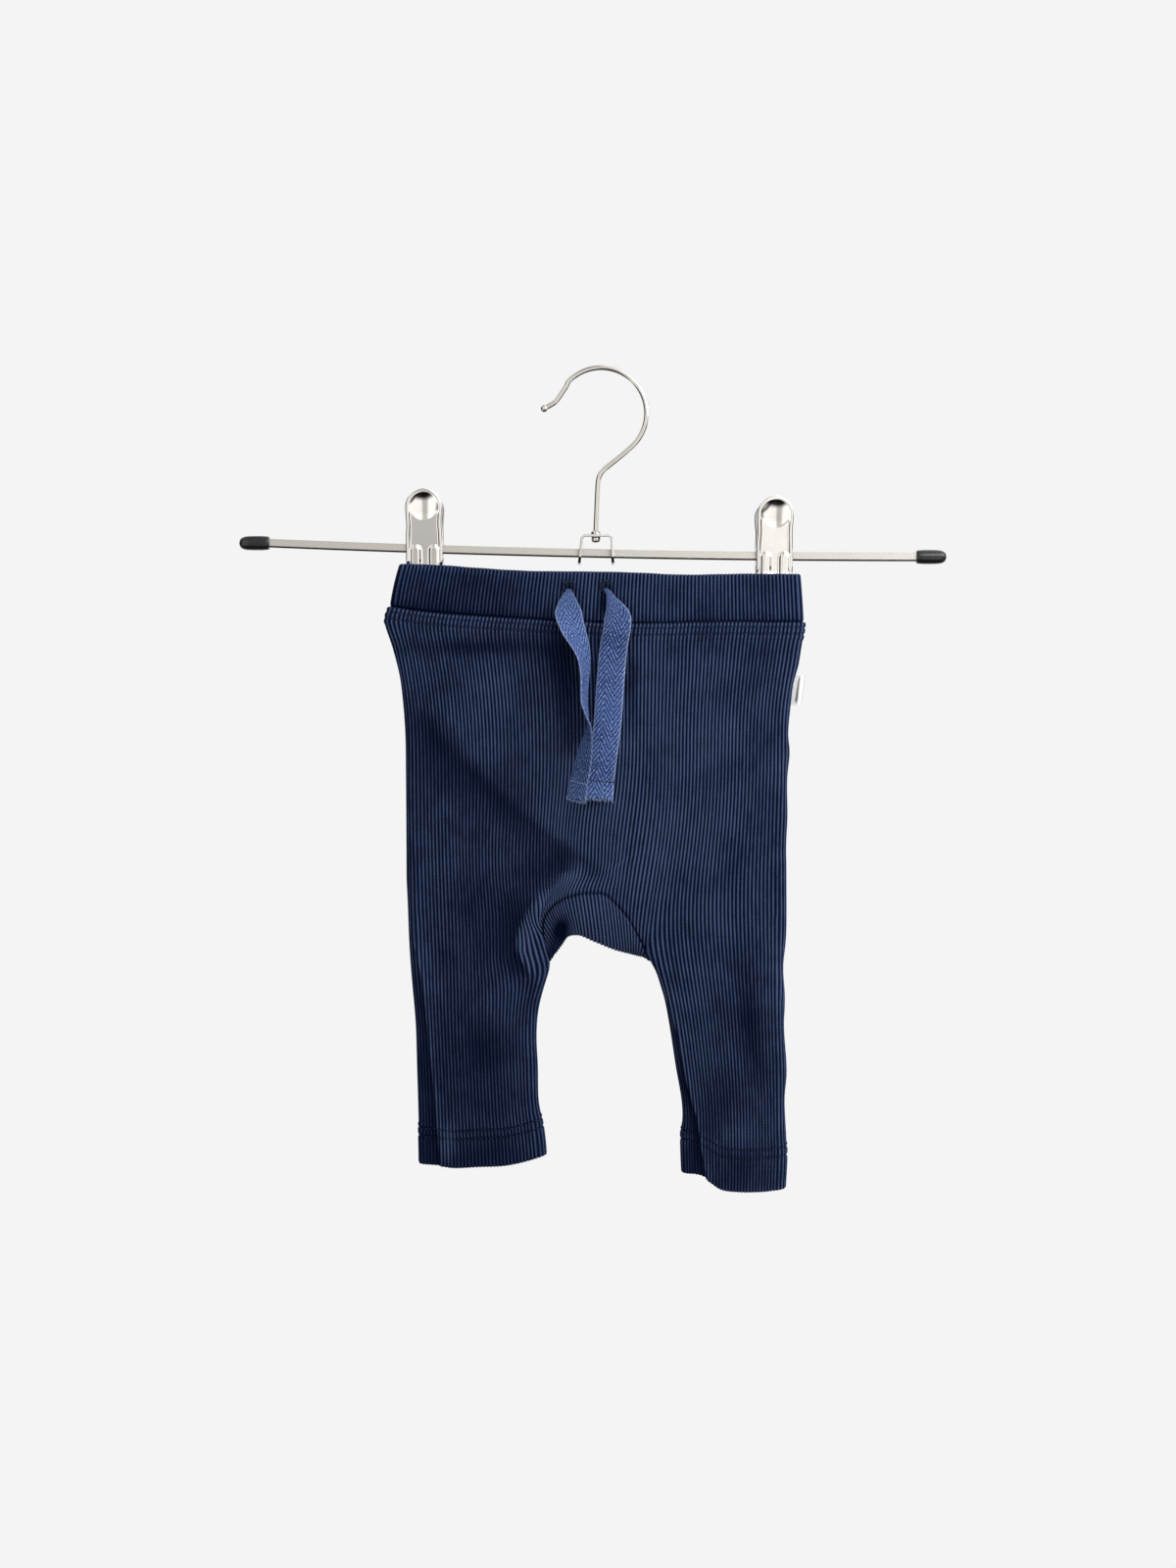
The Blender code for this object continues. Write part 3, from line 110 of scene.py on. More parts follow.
# The fold where the gusset turns under: 0 to 1 along the seam, on to -1 and 2 at the tips.
GUSSET_FOLD = table(
    "share x z", (-1, -25.3, -291.2), (-0.5, -24.2, -288.8), (0, -22.4, -285.6),
    (0.12, -19.0, -281.0), (0.25, -16.2, -277.2), (0.4, -11.0, -276.2), (0.55, -2.0, -279.6),
    (0.7, 7.5, -283.4), (0.85, 15.0, -285.4), (1, 20.4, -286.8), (1.5, 23.6, -288.8),
    (2, 26.0, -290.8))

# Flat tube sections: corner is the radius of the side folds, front and back are how far the
# middle stands out past the corners, reach is the share of the width that it swells over.
WAIST_SECTION = {"front": 4.2, "back": 2.6, "reach": 0.76}
BODY_SECTIONS = table("z corner front back reach", (-116, 2.8, 4.4, 3.2, 0.8),
                      (-132, 3.2, 5.0, 3.8, 0.88), (-165, 3.8, 5.2, 4.6, 1.0),
                      (-205, 4.2, 5.0, 5.4, 1.0), (-265, 4.5, 4.0, 5.0, 1.0))
LEG_SECTIONS = table("z corner front back reach", (-268, 4.5, 2.4, 3.0, 1.0),
                     (-310, 4.3, 1.8, 2.2, 1.0), (-350, 4.2, 1.6, 1.7, 1.0),
                     (-403, 4.2, 1.4, 1.5, 1.0))
BODY_TOP, BODY_DROP = -124, 141  # sections from the waist seam down to the crotch
LEG_TOP, LEG_TOP_CORNER = LEG_SECTIONS["z"][0], LEG_SECTIONS["corner"][0]
COLUMN_ROOM = 0.72  # least room between columns that bow round the gusset's left end
OUTER_CLIMB = {"left": 15.0, "right": 20.0}  # rise of a leg's first row towards the side

# The creases, the largest first: a straight stretch from x0, z0 to x1, z1, its height
# (troughs are negative) and the distance over which it fades.
FRONT_CREASES = table(
    "x0 z0 x1 z1 height width",
    (-88, -171, -59, -203, -1.0, 14.4), (-59, -203, -40, -219, -1.2, 13.2),
    (-40, -219, -5, -241, -1.4, 10.8), (-40, -281, -29, -261, 1.3, 4.8),
    (-29, -261, -10, -246, 1.5, 4.8), (-77, -288, -58, -334, -1.1, 6),
    (-37, -292, -34, -310, -1.3, 4.8), (62, -235, 68, -296, -1.1, 6),
    (68, -296, 78, -348, -1.3, 4.8), (81, -284, 89, -305, 0.9, 3.6),
    (-98, -135, -30, -137, -1.0, 6), (42, -137, 92, -137, -0.9, 6),
    (-8, -241, -3, -247, -0.8, 4), (-88, -171, -50, -211, -0.5, 4),
    (-36, -246, -20, -240, -0.7, 4), (-44, -262, -40, -290, -0.8, 5),
    (30, -262, 36, -300, -0.5, 4), (-60, -300, -52, -338, -0.5, 3),
    (84, -160, 90, -196, -0.5, 4), (82, -205, 89, -236, -0.5, 4),
    (-90, -150, -88, -176, 0.5, 4), (12, -300, 40, -276, -0.4, 5),
    (-12, -212, -16, -236, -0.5, 5), (14, -214, 17, -244, -0.4, 5))
BACK_CREASES = table(
    "x0 z0 x1 z1 height width",
    (-80, -190, -30, -236, -1.6, 9.6), (78, -196, 26, -240, -1.7, 9.6),
    (-30, -262, -12, -246, 1.3, 6), (28, -262, 12, -247, 1.2, 6),
    (-66, -290, -58, -345, -1.2, 6), (70, -286, 62, -340, -1.1, 6),
    (-84, -138, 86, -138, -0.9, 6), (-10, -236, -2, -250, -1.3, 4),
    (10, -238, 4, -250, -1.0, 4), (-84, -176, -50, -214, -0.5, 4),
    (80, -176, 52, -212, -0.5, 4), (-58, -300, -50, -338, -0.5, 3),
    (56, -296, 62, -332, -0.5, 3), (-38, -262, -36, -296, -0.7, 5),
    (36, -262, 35, -292, -0.6, 5), (-20, -150, -24, -196, -0.4, 6),
    (26, -150, 30, -190, -0.4, 6))
# Lengthwise folds in the legs: beyond the line the front is set back towards the seam.
LEFT_FOLD = table("z x depth", (-268, -94, 0), (-288, -88.9, 0.6), (-303, -86.4, 1.2),
                  (-337, -82.8, 1.8), (-370, -79.7, 2.2), (-391, -78.0, 2.4))
RIGHT_FOLD = table("z x depth", (-300, 30.5, 0), (-316, 35.4, 0.8), (-331, 39.2, 1.6),
                   (-352, 43.0, 2.4), (-365, 46.8, 2.8), (-389, 50.6, 3.0), (-403, 53.5, 3.0))
GUSSET_POCKET = {"x": -17.6, "z": -272.0, "height": -2.4, "width": 5.0}

# ------------------------------------------------------------- hanger sizes
WIRE_R = 1.35
HOOK_R = 22.3  # to the middle of the wire
HOOK_CENTRE = (0.7, -20.94)
STEM_X = -1.9
BAR_HEIGHT, BAR_DEPTH = 4.0, 2.5
BAR_ENDS = (-172.0, 166.0)
BAR_MIDDLE_Z, BAR_SLOPE, BAR_SAG = -89.9, -0.021, 6.6e-5
CAP_LENGTH, CAP_HEIGHT, CAP_DEPTH = 14.7, 7.0, 6.2
BRACKET_WIDTH, BRACKET_DEPTH, SHEET = 15.0, 9.0, 1.3
BRACKET_TOP, BRACKET_TIP = -80.9, -95.0
CLIP_X = {"left": -85.9, "right": 85.6}
CLIP_HALF_WIDTH = 9.1
CLIP_SHEET = 1.0
BACK_JAW = 0.95  # the back jaw lies that much further out, behind the waistband's back
CAP_MOUTHS = {"left": -162.2, "right": 155.4}
# One pressed half of a clip, from its round head down to its jaw: height above the bar,
# distance of its outer face in front of the bar's middle and depth of the turned sides.
CLIP_HALF = table(
    "rise front sides", (28.7, 9.2, 1.0), (26.6, 9.1, 1.4), (22.6, 8.6, 1.6), (17.0, 7.6, 1.8),
    (11.5, 6.2, 2.0), (4.6, 4.3, 2.9), (2.6, 3.9, 3.75), (-4.0, 3.2, 3.05), (-5.6, 3.0, 1.0),
    (-8.6, 2.1, 1.0), (-21.5, 2.1, 1.0))
SPRING_R, SPRING_LENGTH, SPRING_RISE = 3.1, 12.0, 5.65

# Each tape: the height and x of its middle, how far it stands off the cloth, how far it is
# turned about its length, and its width where it bunches in the eyelet.
TAPES = {
    "left": table(
        "z x off turn width",
        (EYELET_Z - 1.5, EYELETS["left"], -2.4, 0, 2.2),
        (EYELET_Z - 1.8, EYELETS["left"], 0.7, 0, 2.4),
        (-110.8, -15.2, 2.0, 0, 4.6), (-114.8, -15.4, 3.0, 3, 9.0),
        (-121.0, -15.2, 3.2, 12, TAPE_WIDTH), (-129.0, -12.9, 4.6, 26, TAPE_WIDTH),
        (-136.0, -10.0, 6.4, 45, TAPE_WIDTH), (-142.5, -8.1, 7.4, 61, TAPE_WIDTH),
        (-151.0, -7.6, 8.0, 72, TAPE_WIDTH), (-163.0, -7.9, 8.1, 77, TAPE_WIDTH),
        (-170.0, -6.6, 8.2, 84, TAPE_WIDTH), (-176.0, -5.6, 8.4, 98, TAPE_WIDTH),
        (-183.0, -6.6, 8.2, 115, TAPE_WIDTH), (-193.0, -8.4, 7.6, 128, TAPE_WIDTH),
        (-202.0, -10.4, 7.0, 133, TAPE_WIDTH), (-210.5, -11.5, 6.6, 134, TAPE_WIDTH)),
    "right": table(
        "z x off turn width",
        (EYELET_Z - 1.1, EYELETS["right"], -2.4, 0, 2.0),
        (EYELET_Z - 1.3, EYELETS["right"], 0.7, 0, 2.2),
        (-110.6, 4.4, 1.8, 0, 3.0), (-113.9, 5.6, 2.2, -2, 5.4), (-117.0, 6.9, 2.4, -5, 8.6),
        (-120.4, 8.0, 2.4, -8, 12.2), (-124.0, 8.5, 2.3, -10, TAPE_WIDTH),
        (-129.0, 8.0, 2.2, -10, TAPE_WIDTH), (-136.0, 6.7, 2.0, -8, TAPE_WIDTH),
        (-148.0, 5.5, 1.6, -4, TAPE_WIDTH),
        (-163.0, 4.4, 1.5, 0, TAPE_WIDTH), (-174.0, 3.6, 1.5, 2, TAPE_WIDTH),
        (-184.0, 2.4, 1.5, 4, TAPE_WIDTH), (-194.0, 1.0, 1.6, 4, TAPE_WIDTH),
        (-202.0, 0.0, 1.7, 3, TAPE_WIDTH), (-210.0, -0.6, 1.9, 2, TAPE_WIDTH)),
}

# ------------------------------------------------------------------ finer form
PER_RIB = 6  # columns of points to a rib
# The first and last column over the crotch, and the last column of all.
PANEL_COLUMNS = [PER_RIB * ribs for ribs in (LEFT_RIBS, LEFT_RIBS + CROTCH_RIBS, HALF_RIBS)]
RIB_PITCH = 1.72
LOOP_PITCH = 1.15  # one knitted loop along a rib
BODY_SHARES = np.concatenate([np.linspace(0, 0.066, 22), np.linspace(0.066, 1, 52)[1:]])
BODY_END = len(BODY_SHARES) - 1  # the row at the height of the crotch
LEG_SHARES = np.concatenate([np.linspace(0, 0.775, 31), np.linspace(0.785, 0.875, 22),
                             np.linspace(0.885, 0.985, 9)])
WAIST_SHARES = np.concatenate([[1, 0.985, 0.965, 0.94], np.linspace(0.9, 0.14, 15),
                               [0.105, 0.075, 0.05]])
ROLL = np.radians([30, 60, 90, 120, 150])  # round a folded edge
TOPSTITCH = (2.4, 5.7)  # rows below the waist seam
BAND_DEPTH = 7.4
BAND_FLARE = 1.3  # the waistband widens to the left as it nears the seam
HEM_STITCHES = {"left": (13.0, 17.0), "right": (15.6, 19.8)}  # rows above each hem
FURROW = 0.32
SEAM_FALL, SEAM_FADE = 0.55, 0.45
INNER_STEP = 4  # rows of the outer face to one of the inner face
EASE_COLUMNS, EASE_ROWS, EASE_PASSES = 42, 14, 60
SEAM_LAP = 0.55  # a seam's inner edge reaches under its neighbour
GUSSET_TIP_SHARES = np.linspace(0.06, 0.72, 12)
GUSSET_ANGLES = np.concatenate([np.linspace(0, 12, 5), np.linspace(18, 162, 33),
                                np.linspace(168, 180, 5)])
SEAM_CROWD = 0.6
THREAD_R = 0.17
STITCH_RIBS = 1.5  # ribs to a stitch
STITCH_HEIGHT = WALL / 2 + BAND_LIFT + RIB * 0.45

# Folds that lie over to one side: the cloth to the right of the way down each path is set
# back and given a painted shadow, the cloth to its left is raised and given a painted
# highlight. Edge is how soft the change is and early how many times softer still at the start.
# Lit and dark are the painted highlight and painted shadow, with their widths.
CROTCH_LIP = table("x z", (-8, -245.5), (-16.7, -247.5), (-24.0, -254.2), (-29.2, -258.9),
                   (-33.9, -264.1), (-37.5, -270.9), (-40.1, -277.7), (-40.4, -281.8),
                   (-39.1, -287.0), (-36.5, -292.2), (-33.3, -298.0))
# How far ribs step aside where they cross the crotch's fold, at shares of the way down it, and
# how far above it, below it and over the gusset's seam that fades.
SWAY_AT, SWAY_ASIDE = (0, 0.15, 0.42, 0.6, 0.8, 1), (2.6, 3.0, 2.4, 0, -2.4, 0)
SWAY_ABOVE, SWAY_BELOW, SWAY_OVER_SEAM = 17, 14, 11
HIP_LIP = table("x z", (-90, -158), (-77, -176), (-54, -200), (-37, -216), (-24, -226),
                (-5, -240), (8, -250))
LIP_FORM = table("rise slack fall edge early lit lit_wide dark dark_wide",
                 (1.5, 6.0, 1.6, 1.0, 1, 0.65, 6.0, -0.78, 11.0),
                 (0.7, 14.0, 5.0, 3.5, 6, 0.12, 10.0, -0.60, 15.0),
                 (0.0, 1.0, 1.0, 0.8, 0, 0.45, 2.2, -0.45, 2.5),
                 (0.0, 1.0, 1.0, 0.8, 0, 0.35, 2.2, -0.45, 2.5))

# Patches painted lighter (above 0) or darker: x, z, spread of each, amount. On the front, gusset
# and waistband many are painted shadow and painted highlight: between and beside the drawstring
# tapes, in the eyelets, under the waistband, round the crotch's fold and the gusset's pocket and
# on the legs' side folds; the others make broad areas lighter or darker.
FRONT_SHADE_AND_FADES = table(
    "x z wide high amount",
    (-86, -185, 36, 55, -0.28), (45, -190, 50, 60, 0.05), (6, -222, 36, 34, 0.42),
    (-52, -262, 22, 26, -0.20), (-62, -340, 40, 50, -0.66), (62, -350, 30, 50, -0.48),
    (66, -275, 24, 30, -0.10), (-14, -253, 16, 5, 0.35), (-72, -258, 34, 40, -0.22),
    (62, -396, 34, 12, -0.45), (-56, -386, 40, 14, -0.52), (88, -295, 7, 20, 0.45),
    (-60, -296, 14, 16, 0.25), (-74, -378, 3, 8, 0.9), (70, -372, 8, 14, 0.25),
    (-1, -152, 5, 34, -0.75), (-21, -140, 9, 16, -0.60), (-17, -164, 6, 24, -0.60),
    (15.6, -151, 3.2, 24, -0.75), (22, -284, 4, 8, -0.5), (-34, -150, 22, 26, -0.10),
    (-62, -136.5, 36, 4.5, -0.55), (66, -138, 30, 5, -0.20), (-52, -172, 16, 26, 0.22),
    (84, -225, 10, 24, -0.25), (50, -300, 8, 30, 0.20), (74, -318, 7, 26, -0.30))
GUSSET_SHADE_AND_FADES = table(
    "x z wide high amount", (3, -269, 26, 18, 0.80), (-19.5, -277, 4.5, 7, -1.4),
    (-23.5, -286, 3.2, 5, -0.9), (22, -287, 5, 5, -0.5))
WAIST_SHADE_AND_FADES = table(
    "x z wide high amount", (60, -110, 50, 30, -0.05), (-70, -110, 40, 30, -0.56),
    (1.4, -115, 2.2, 7, -0.85), (-6, -110, 5, 12, 0.25), (-15.9, -107.0, 2.4, 2.2, -1.0),
    (3.2, -107.0, 2.4, 2.2, -1.0))
BACK_FADES = table(
    "x z wide high amount",
    (-60, -190, 45, 50, 0.14), (55, -200, 45, 50, -0.10), (0, -230, 30, 26, 0.14),
    (40, -262, 22, 22, -0.25), (60, -340, 40, 50, -0.15), (0, -268, 22, 10, 0.2))
TROUGH_SHADE, CREST_WEAR_AND_LIGHT = 0.30, 0.28  # painted shade in crease troughs, and wear with painted highlight on their crests
DARKEST_SHADE = -0.82
TAPE_FADES = {  # the same down a tape: distance from its eyelet, spread, amount
    "left": ((20, 14, 0.35), (60, 16, 0.10), (92, 10, -0.25), (106, 5, 0.6)),
    "right": ((10, 12, 0.15), (31, 7, -0.40), (60, 22, 0.10), (92, 7, -0.35), (105, 5, 0.6))}
TAPE_COLUMNS, TAPE_ROWS = 17, 170
TWILL_TURN, TWILL_PITCH = 4.5, 2.9  # the herringbone's bands and the twill's step
TAPE_CUP = {"left": 1.2, "right": -0.8}
TAPE_STITCH, TAPE_STITCHES = 8.6, 7
FRAY_YARNS = 34
SEEDS = {"left": 11, "right": 23}
EYELET_STITCHES, EYELET_FRONT = 26, -10.5

CAP_PROFILE = ((0.0, 0.80), (0.015, 0.88), (0.05, 0.94), (0.09, 0.95), (0.13, 0.97), (0.25, 1.0),
               (0.5, 1.0), (0.66, 0.985), (0.78, 0.94), (0.86, 0.86), (0.92, 0.74), (0.96, 0.6),
               (0.985, 0.42), (1.0, 0.2))
BALL_R = 1.9
BALL = [(-BALL_R * math.cos(a), BALL_R * math.sin(a)) for a in np.linspace(0.15, 2.9, 14)]
COLLAR = ((0.0, 1.45), (0.1, 2.2), (0.3, 2.5), (1.3, 2.5), (1.6, 2.3), (1.62, 1.6), (3.2, 1.6),
          (3.25, 2.1), (3.4, 2.3), (4.5, 2.25), (5.2, 1.9), (5.6, 1.2), (5.7, 0.4))
HOOK_START = [(-27.0, -18.6), (-25.0, -17.5), (-22.8, -16.2), (-21.4, -15.1), (-20.4, -13.8),
              (-18.4, -10.8), (-16.4, -7.8)]  # x and z from the tip to the round bend
HOOK_TAIL = [(11.5, -41.1), (8.2, -43.8), (4.8, -46.5), (2.4, -48.5), (0.7, -50.4), (-0.3, -52.4),
             (-0.8, -55.0), (-1.1, -60.0), (STEM_X, -78.9)]
BRACKET_LEFT, BRACKET_RIGHT = STEM_X - BRACKET_WIDTH / 2 + 0.6, STEM_X + BRACKET_WIDTH / 2 + 0.6
DISH_RISE, DISH_R, DISH_DEPTH = 19.4, 7.5, 2.1
CLIP_RIM, CLIP_CHANNEL, CLIP_ROLL, CLIP_TIP = 1.5, 0.7, 1.1, -21.5
CLIP_RIBS, CLIP_RIB_TOP, CLIP_RIB_HALF, CLIP_RIB_HEIGHT = (-4.3, 4.8), -1.0, 2.8, 1.1
SPRING_TURNS, SPRING_WIRE = 9, 0.6

CAMERA = (-5.8, -950.0, -203.0)
LENS = 44.42  # for a 36 mm sensor on the photograph's long side
FLOOR_Z = -900.0

# ------------------------------------------------------------------ colours
# The valley colours are near black: part dye, part painted shade between the ribs.
KNIT_DARK, KNIT_LIGHT = (0.0018, 0.0040, 0.0190), (0.065, 0.096, 0.195)
KNIT_WORN = (0.170, 0.215, 0.320)
BAND_DARK, BAND_LIGHT = (0.0014, 0.0034, 0.0175), (0.056, 0.085, 0.180)
TAPE_DARK, TAPE_LIGHT = (0.006, 0.017, 0.085), (0.090, 0.150, 0.365)
TAPE_WORN = (0.44, 0.54, 0.80)
WALL_SEEN = (0.905, 0.905, 0.905)
# The light from each direction, for cloth and for what metal mirrors: the share of the wall
# by y, then the room by height, by x and by x less height, the wall by x, and a gain on all.
BEFORE = ((0.3, 0), (0.6, 1))
ROOM = {"height": ((-1, 0.04), (-0.62, 0.05), (-0.42, 0.58), (0.1, 0.8), (0.5, 0.95)),
        "sides": ((-1, 0.08), (-0.55, 0.28), (-0.1, 0.38), (0.1, 0.66), (0.6, 0.55), (1, 0.12)),
        "wall": ((-1, 0.22), (1, 0.26)), "corner": ((-1, 1), (1, 1)),
        "tint": (1.0, 0.99, 0.97), "gain": 1.6}
MIRRORED = {"height": ((-1, 0.01), (-0.70, 0.01), (-0.56, 0.9), (0.0, 0.85), (0.2, 1.0)),
            "sides": ((-1, 0.01), (-0.86, 0.02), (-0.74, 0.95), (-0.44, 0.95), (-0.27, 0.42),
                      (-0.03, 0.42), (0.07, 0.82), (0.74, 0.95), (0.86, 0.02), (1, 0.01)),
            "wall": ((-1, 0.30), (1, 0.30)),
            "corner": ((-1, 0.5), (-0.84, 0.5), (-0.76, 1), (0.70, 1), (0.76, 0.02), (1, 0.02)),
            "tint": (1.0, 0.965, 0.93), "gain": 1.6}


# ------------------------------------------------------------------ reading the tables
def read(rows, column, at, by="z"):
    """A column at places along another one, on a smooth curve through the rows."""
    order = np.argsort(rows[by])
    x, y = rows[by][order], rows[column][order]
    slope = np.diff(y) / np.diff(x)
    tangent = np.concatenate([[slope[0]], (slope[:-1] + slope[1:]) / 2, [slope[-1]]])
    flat = np.concatenate([[False], slope[:-1] * slope[1:] <= 0, [False]])
    tangent = np.where(flat, 0, tangent)
    at = np.clip(np.asarray(at, float), x[0], x[-1])
    i = np.clip(np.searchsorted(x, at, side="right") - 1, 0, len(x) - 2)
    step = x[i + 1] - x[i]
    u = (at - x[i]) / step
    return ((2 * u**3 - 3 * u**2 + 1) * y[i] + (u**3 - 2 * u**2 + u) * step * tangent[i]
            + (3 * u**2 - 2 * u**3) * y[i + 1] + (u**3 - u**2) * step * tangent[i + 1])


def smooth(x):
    x = np.clip(x, 0, 1)
    return x * x * (3 - 2 * x)


def unit(v):
    return v / np.maximum(np.linalg.norm(v, axis=-1, keepdims=True), 1e-12)


def travel(points):
    """Distance along a line of points."""
    steps = np.linalg.norm(np.diff(points, axis=0), axis=1)
    return np.concatenate([[0], np.cumsum(steps)])


# ------------------------------------------------------------------ meshes
def placed(name, data):
    obj = bpy.data.objects.new(name, data)
    bpy.context.scene.collection.objects.link(obj)
    return obj


def add_object(name, mesh, *finishes):
    for finish in finishes:
        mesh.materials.append(finish)
    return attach(placed(name, mesh), "root")


def mesh_of(name, points, faces, sharp=60):
    """A smooth-shaded mesh from points in millimetres, with its faces turned to point out."""
    mesh = bpy.data.meshes.new(name)
    mesh.from_pydata((MM * np.asarray(points, float)).tolist(), [], faces)
    work = bmesh.new()
    work.from_mesh(mesh)
    bmesh.ops.recalc_face_normals(work, faces=work.faces)
    work.to_mesh(mesh)
    work.free()
    mesh.shade_smooth()
    mesh.set_sharp_from_angle(angle=math.radians(sharp))
    return mesh


def lay_out(mesh, uv):
    """Writes a place on the cloth, across and along in millimetres or ribs, for each point."""
    layer = mesh.uv_layers.new(name="cloth")
    corners = np.zeros(len(mesh.loops), np.int32)
    mesh.loops.foreach_get("vertex_index", corners)
    layer.data.foreach_set("uv", np.asarray(uv, np.float32)[corners].ravel())


def tint(mesh, name, values):
    """A named number for each point, which a material reads."""
    mesh.attributes.new(name, "FLOAT", "POINT").data.foreach_set(
        "value", np.asarray(values, np.float32))


class Pile:
    """Many small closed shapes gathered into one mesh."""

    def __init__(self):
        self.points, self.faces = [], []

    def loft(self, rings):
        """A skin over rings of the same number of points, with both ends filled."""
        start, size = len(self.points), len(rings[0])
        end = start + size * (len(rings) - 1)
        self.points += [tuple(p) for ring in rings for p in ring]
        for low in range(start, end, size):
            for a in range(size):
                b = (a + 1) % size
                self.faces.append([low + a, low + b, low + size + b, low + size + a])
        self.faces.append(list(range(start, start + size))[::-1])
        self.faces.append(list(range(end, end + size)))

    def tube(self, path, radii, sides=8):
        self.loft(tube_rings(path, radii, sides))

    def build(self, name, finish, sharp=60):
        return add_object(name, mesh_of(name, self.points, self.faces, sharp), finish)


def tube_rings(path, radii, sides):
    """Circles of points round a line, turned as little as they can be along it."""
    path = np.asarray(path, float)
    along = unit(np.gradient(path, axis=0))
    radii = np.broadcast_to(radii, len(path))
    side = unit(np.cross(along[0], (0.31, 0.95, 0.11)))
    turns = np.linspace(0, 2 * math.pi, sides, endpoint=False)
    rings = []
    for centre, direction, radius in zip(path, along, radii):
        side = unit(side - direction * np.dot(side, direction))
        other = np.cross(direction, side)
        rings.append([centre + radius * (math.cos(a) * side + math.sin(a) * other) for a in turns])
    return rings


def flowing(points, count):
    """Evenly spaced places on a smooth curve through points."""
    points = np.asarray(points, float)
    knots = travel(points)
    at = np.linspace(0, knots[-1], count)
    columns = {"s": knots, **{k: points[:, k] for k in range(points.shape[1])}}
    return np.column_stack([read(columns, k, at, "s") for k in range(points.shape[1])])


# ------------------------------------------------------------------ finishes
class Graph:
    """A tree of shader nodes made by short calls."""

    def __init__(self, tree):
        self.tree = tree

    def node(self, kind, **settings):
        made = self.tree.nodes.new("ShaderNode" + kind)
        for key, value in settings.items():
            setattr(made, key, value)
        return made

    def feed(self, socket, value):
        if isinstance(value, bpy.types.NodeSocket):
            self.tree.links.new(value, socket)
        elif isinstance(value, tuple) and len(value) == 3 and socket.type == "RGBA":
            socket.default_value = (*value, 1)
        else:
            socket.default_value = value

    def math(self, operation, *values, clamp=False):
        made = self.node("Math", operation=operation, use_clamp=clamp)
        for socket, value in zip(made.inputs, values):
            self.feed(socket, value)
        return made.outputs[0]

    def ramp(self, value, low, high):
        """0 below low, 1 above high and smooth between them."""
        made = self.node("MapRange", interpolation_type="SMOOTHSTEP")
        for name, number in (("Value", value), ("From Min", low), ("From Max", high)):
            self.feed(made.inputs[name], number)
        return made.outputs[0]

    def mix(self, factor, first, second, blend="MIX"):
        made = self.node("Mix", data_type="RGBA", blend_type=blend)
        self.feed(made.inputs[0], factor)
        self.feed(made.inputs[6], first)
        self.feed(made.inputs[7], second)
        return made.outputs[2]

    def combine(self, x, y, z=0.0):
        made = self.node("CombineXYZ")
        for socket, value in zip(made.inputs, (x, y, z)):
            self.feed(socket, value)
        return made.outputs[0]

    def noise(self, vector, scale, detail=2.0, rough=0.5):
        made = self.node("TexNoise")
        self.feed(made.inputs["Vector"], vector)
        for name, number in (("Scale", scale), ("Detail", detail), ("Roughness", rough)):
            made.inputs[name].default_value = number
        return made.outputs[0]

    def attribute(self, name):
        return self.node("Attribute", attribute_name=name).outputs["Fac"]

    def ramp_of(self, value, stops):
        """A grey ramp over -1 to 1."""
        spread = self.node("MapRange")
        spread.inputs["From Min"].default_value = -1
        self.feed(spread.inputs["Value"], value)
        made = self.node("ValToRGB")
        self.feed(made.inputs[0], spread.outputs[0])
        greys = made.color_ramp.elements
        for k, (place, level) in enumerate(stops):
            at = (place + 1) / 2
            stop = greys[k] if k < 1 else greys.new(at)
            stop.position, stop.color = at, (level, level, level, 1)
        greys.remove(greys[-1])
        return made.outputs[0]


class Finish(Graph):
    """A Principled finish."""

    def __init__(self, name, colour, roughness, metallic=0.0, specular=0.5):
        self.material = bpy.data.materials.new(name)
        self.material.use_nodes = True
        super().__init__(self.material.node_tree)
        self.shader = self.tree.nodes["Principled BSDF"]
        self.shader.inputs["Base Color"].default_value = (*colour, 1)
        self.shader.inputs["Roughness"].default_value = roughness
        self.shader.inputs["Metallic"].default_value = metallic
        self.shader.inputs["Specular IOR Level"].default_value = specular

    def place(self):
        """Across and along the cloth."""
        split = self.node("SeparateXYZ")
        self.feed(split.inputs[0], self.node("UVMap", uv_map="cloth").outputs[0])
        return split.outputs[0], split.outputs[1]

    def spot(self):
        return self.node("TexCoord").outputs["Object"]

    def bump(self, height, distance, strength=1.0):
        made = self.node("Bump")
        made.inputs["Strength"].default_value = strength
        made.inputs["Distance"].default_value = distance * MM
        self.feed(made.inputs["Height"], height)
        self.feed(self.shader.inputs["Normal"], made.outputs[0])

    def colour(self, value):
        self.feed(self.shader.inputs["Base Color"], value)

    def roughness(self, value):
        self.feed(self.shader.inputs["Roughness"], value)


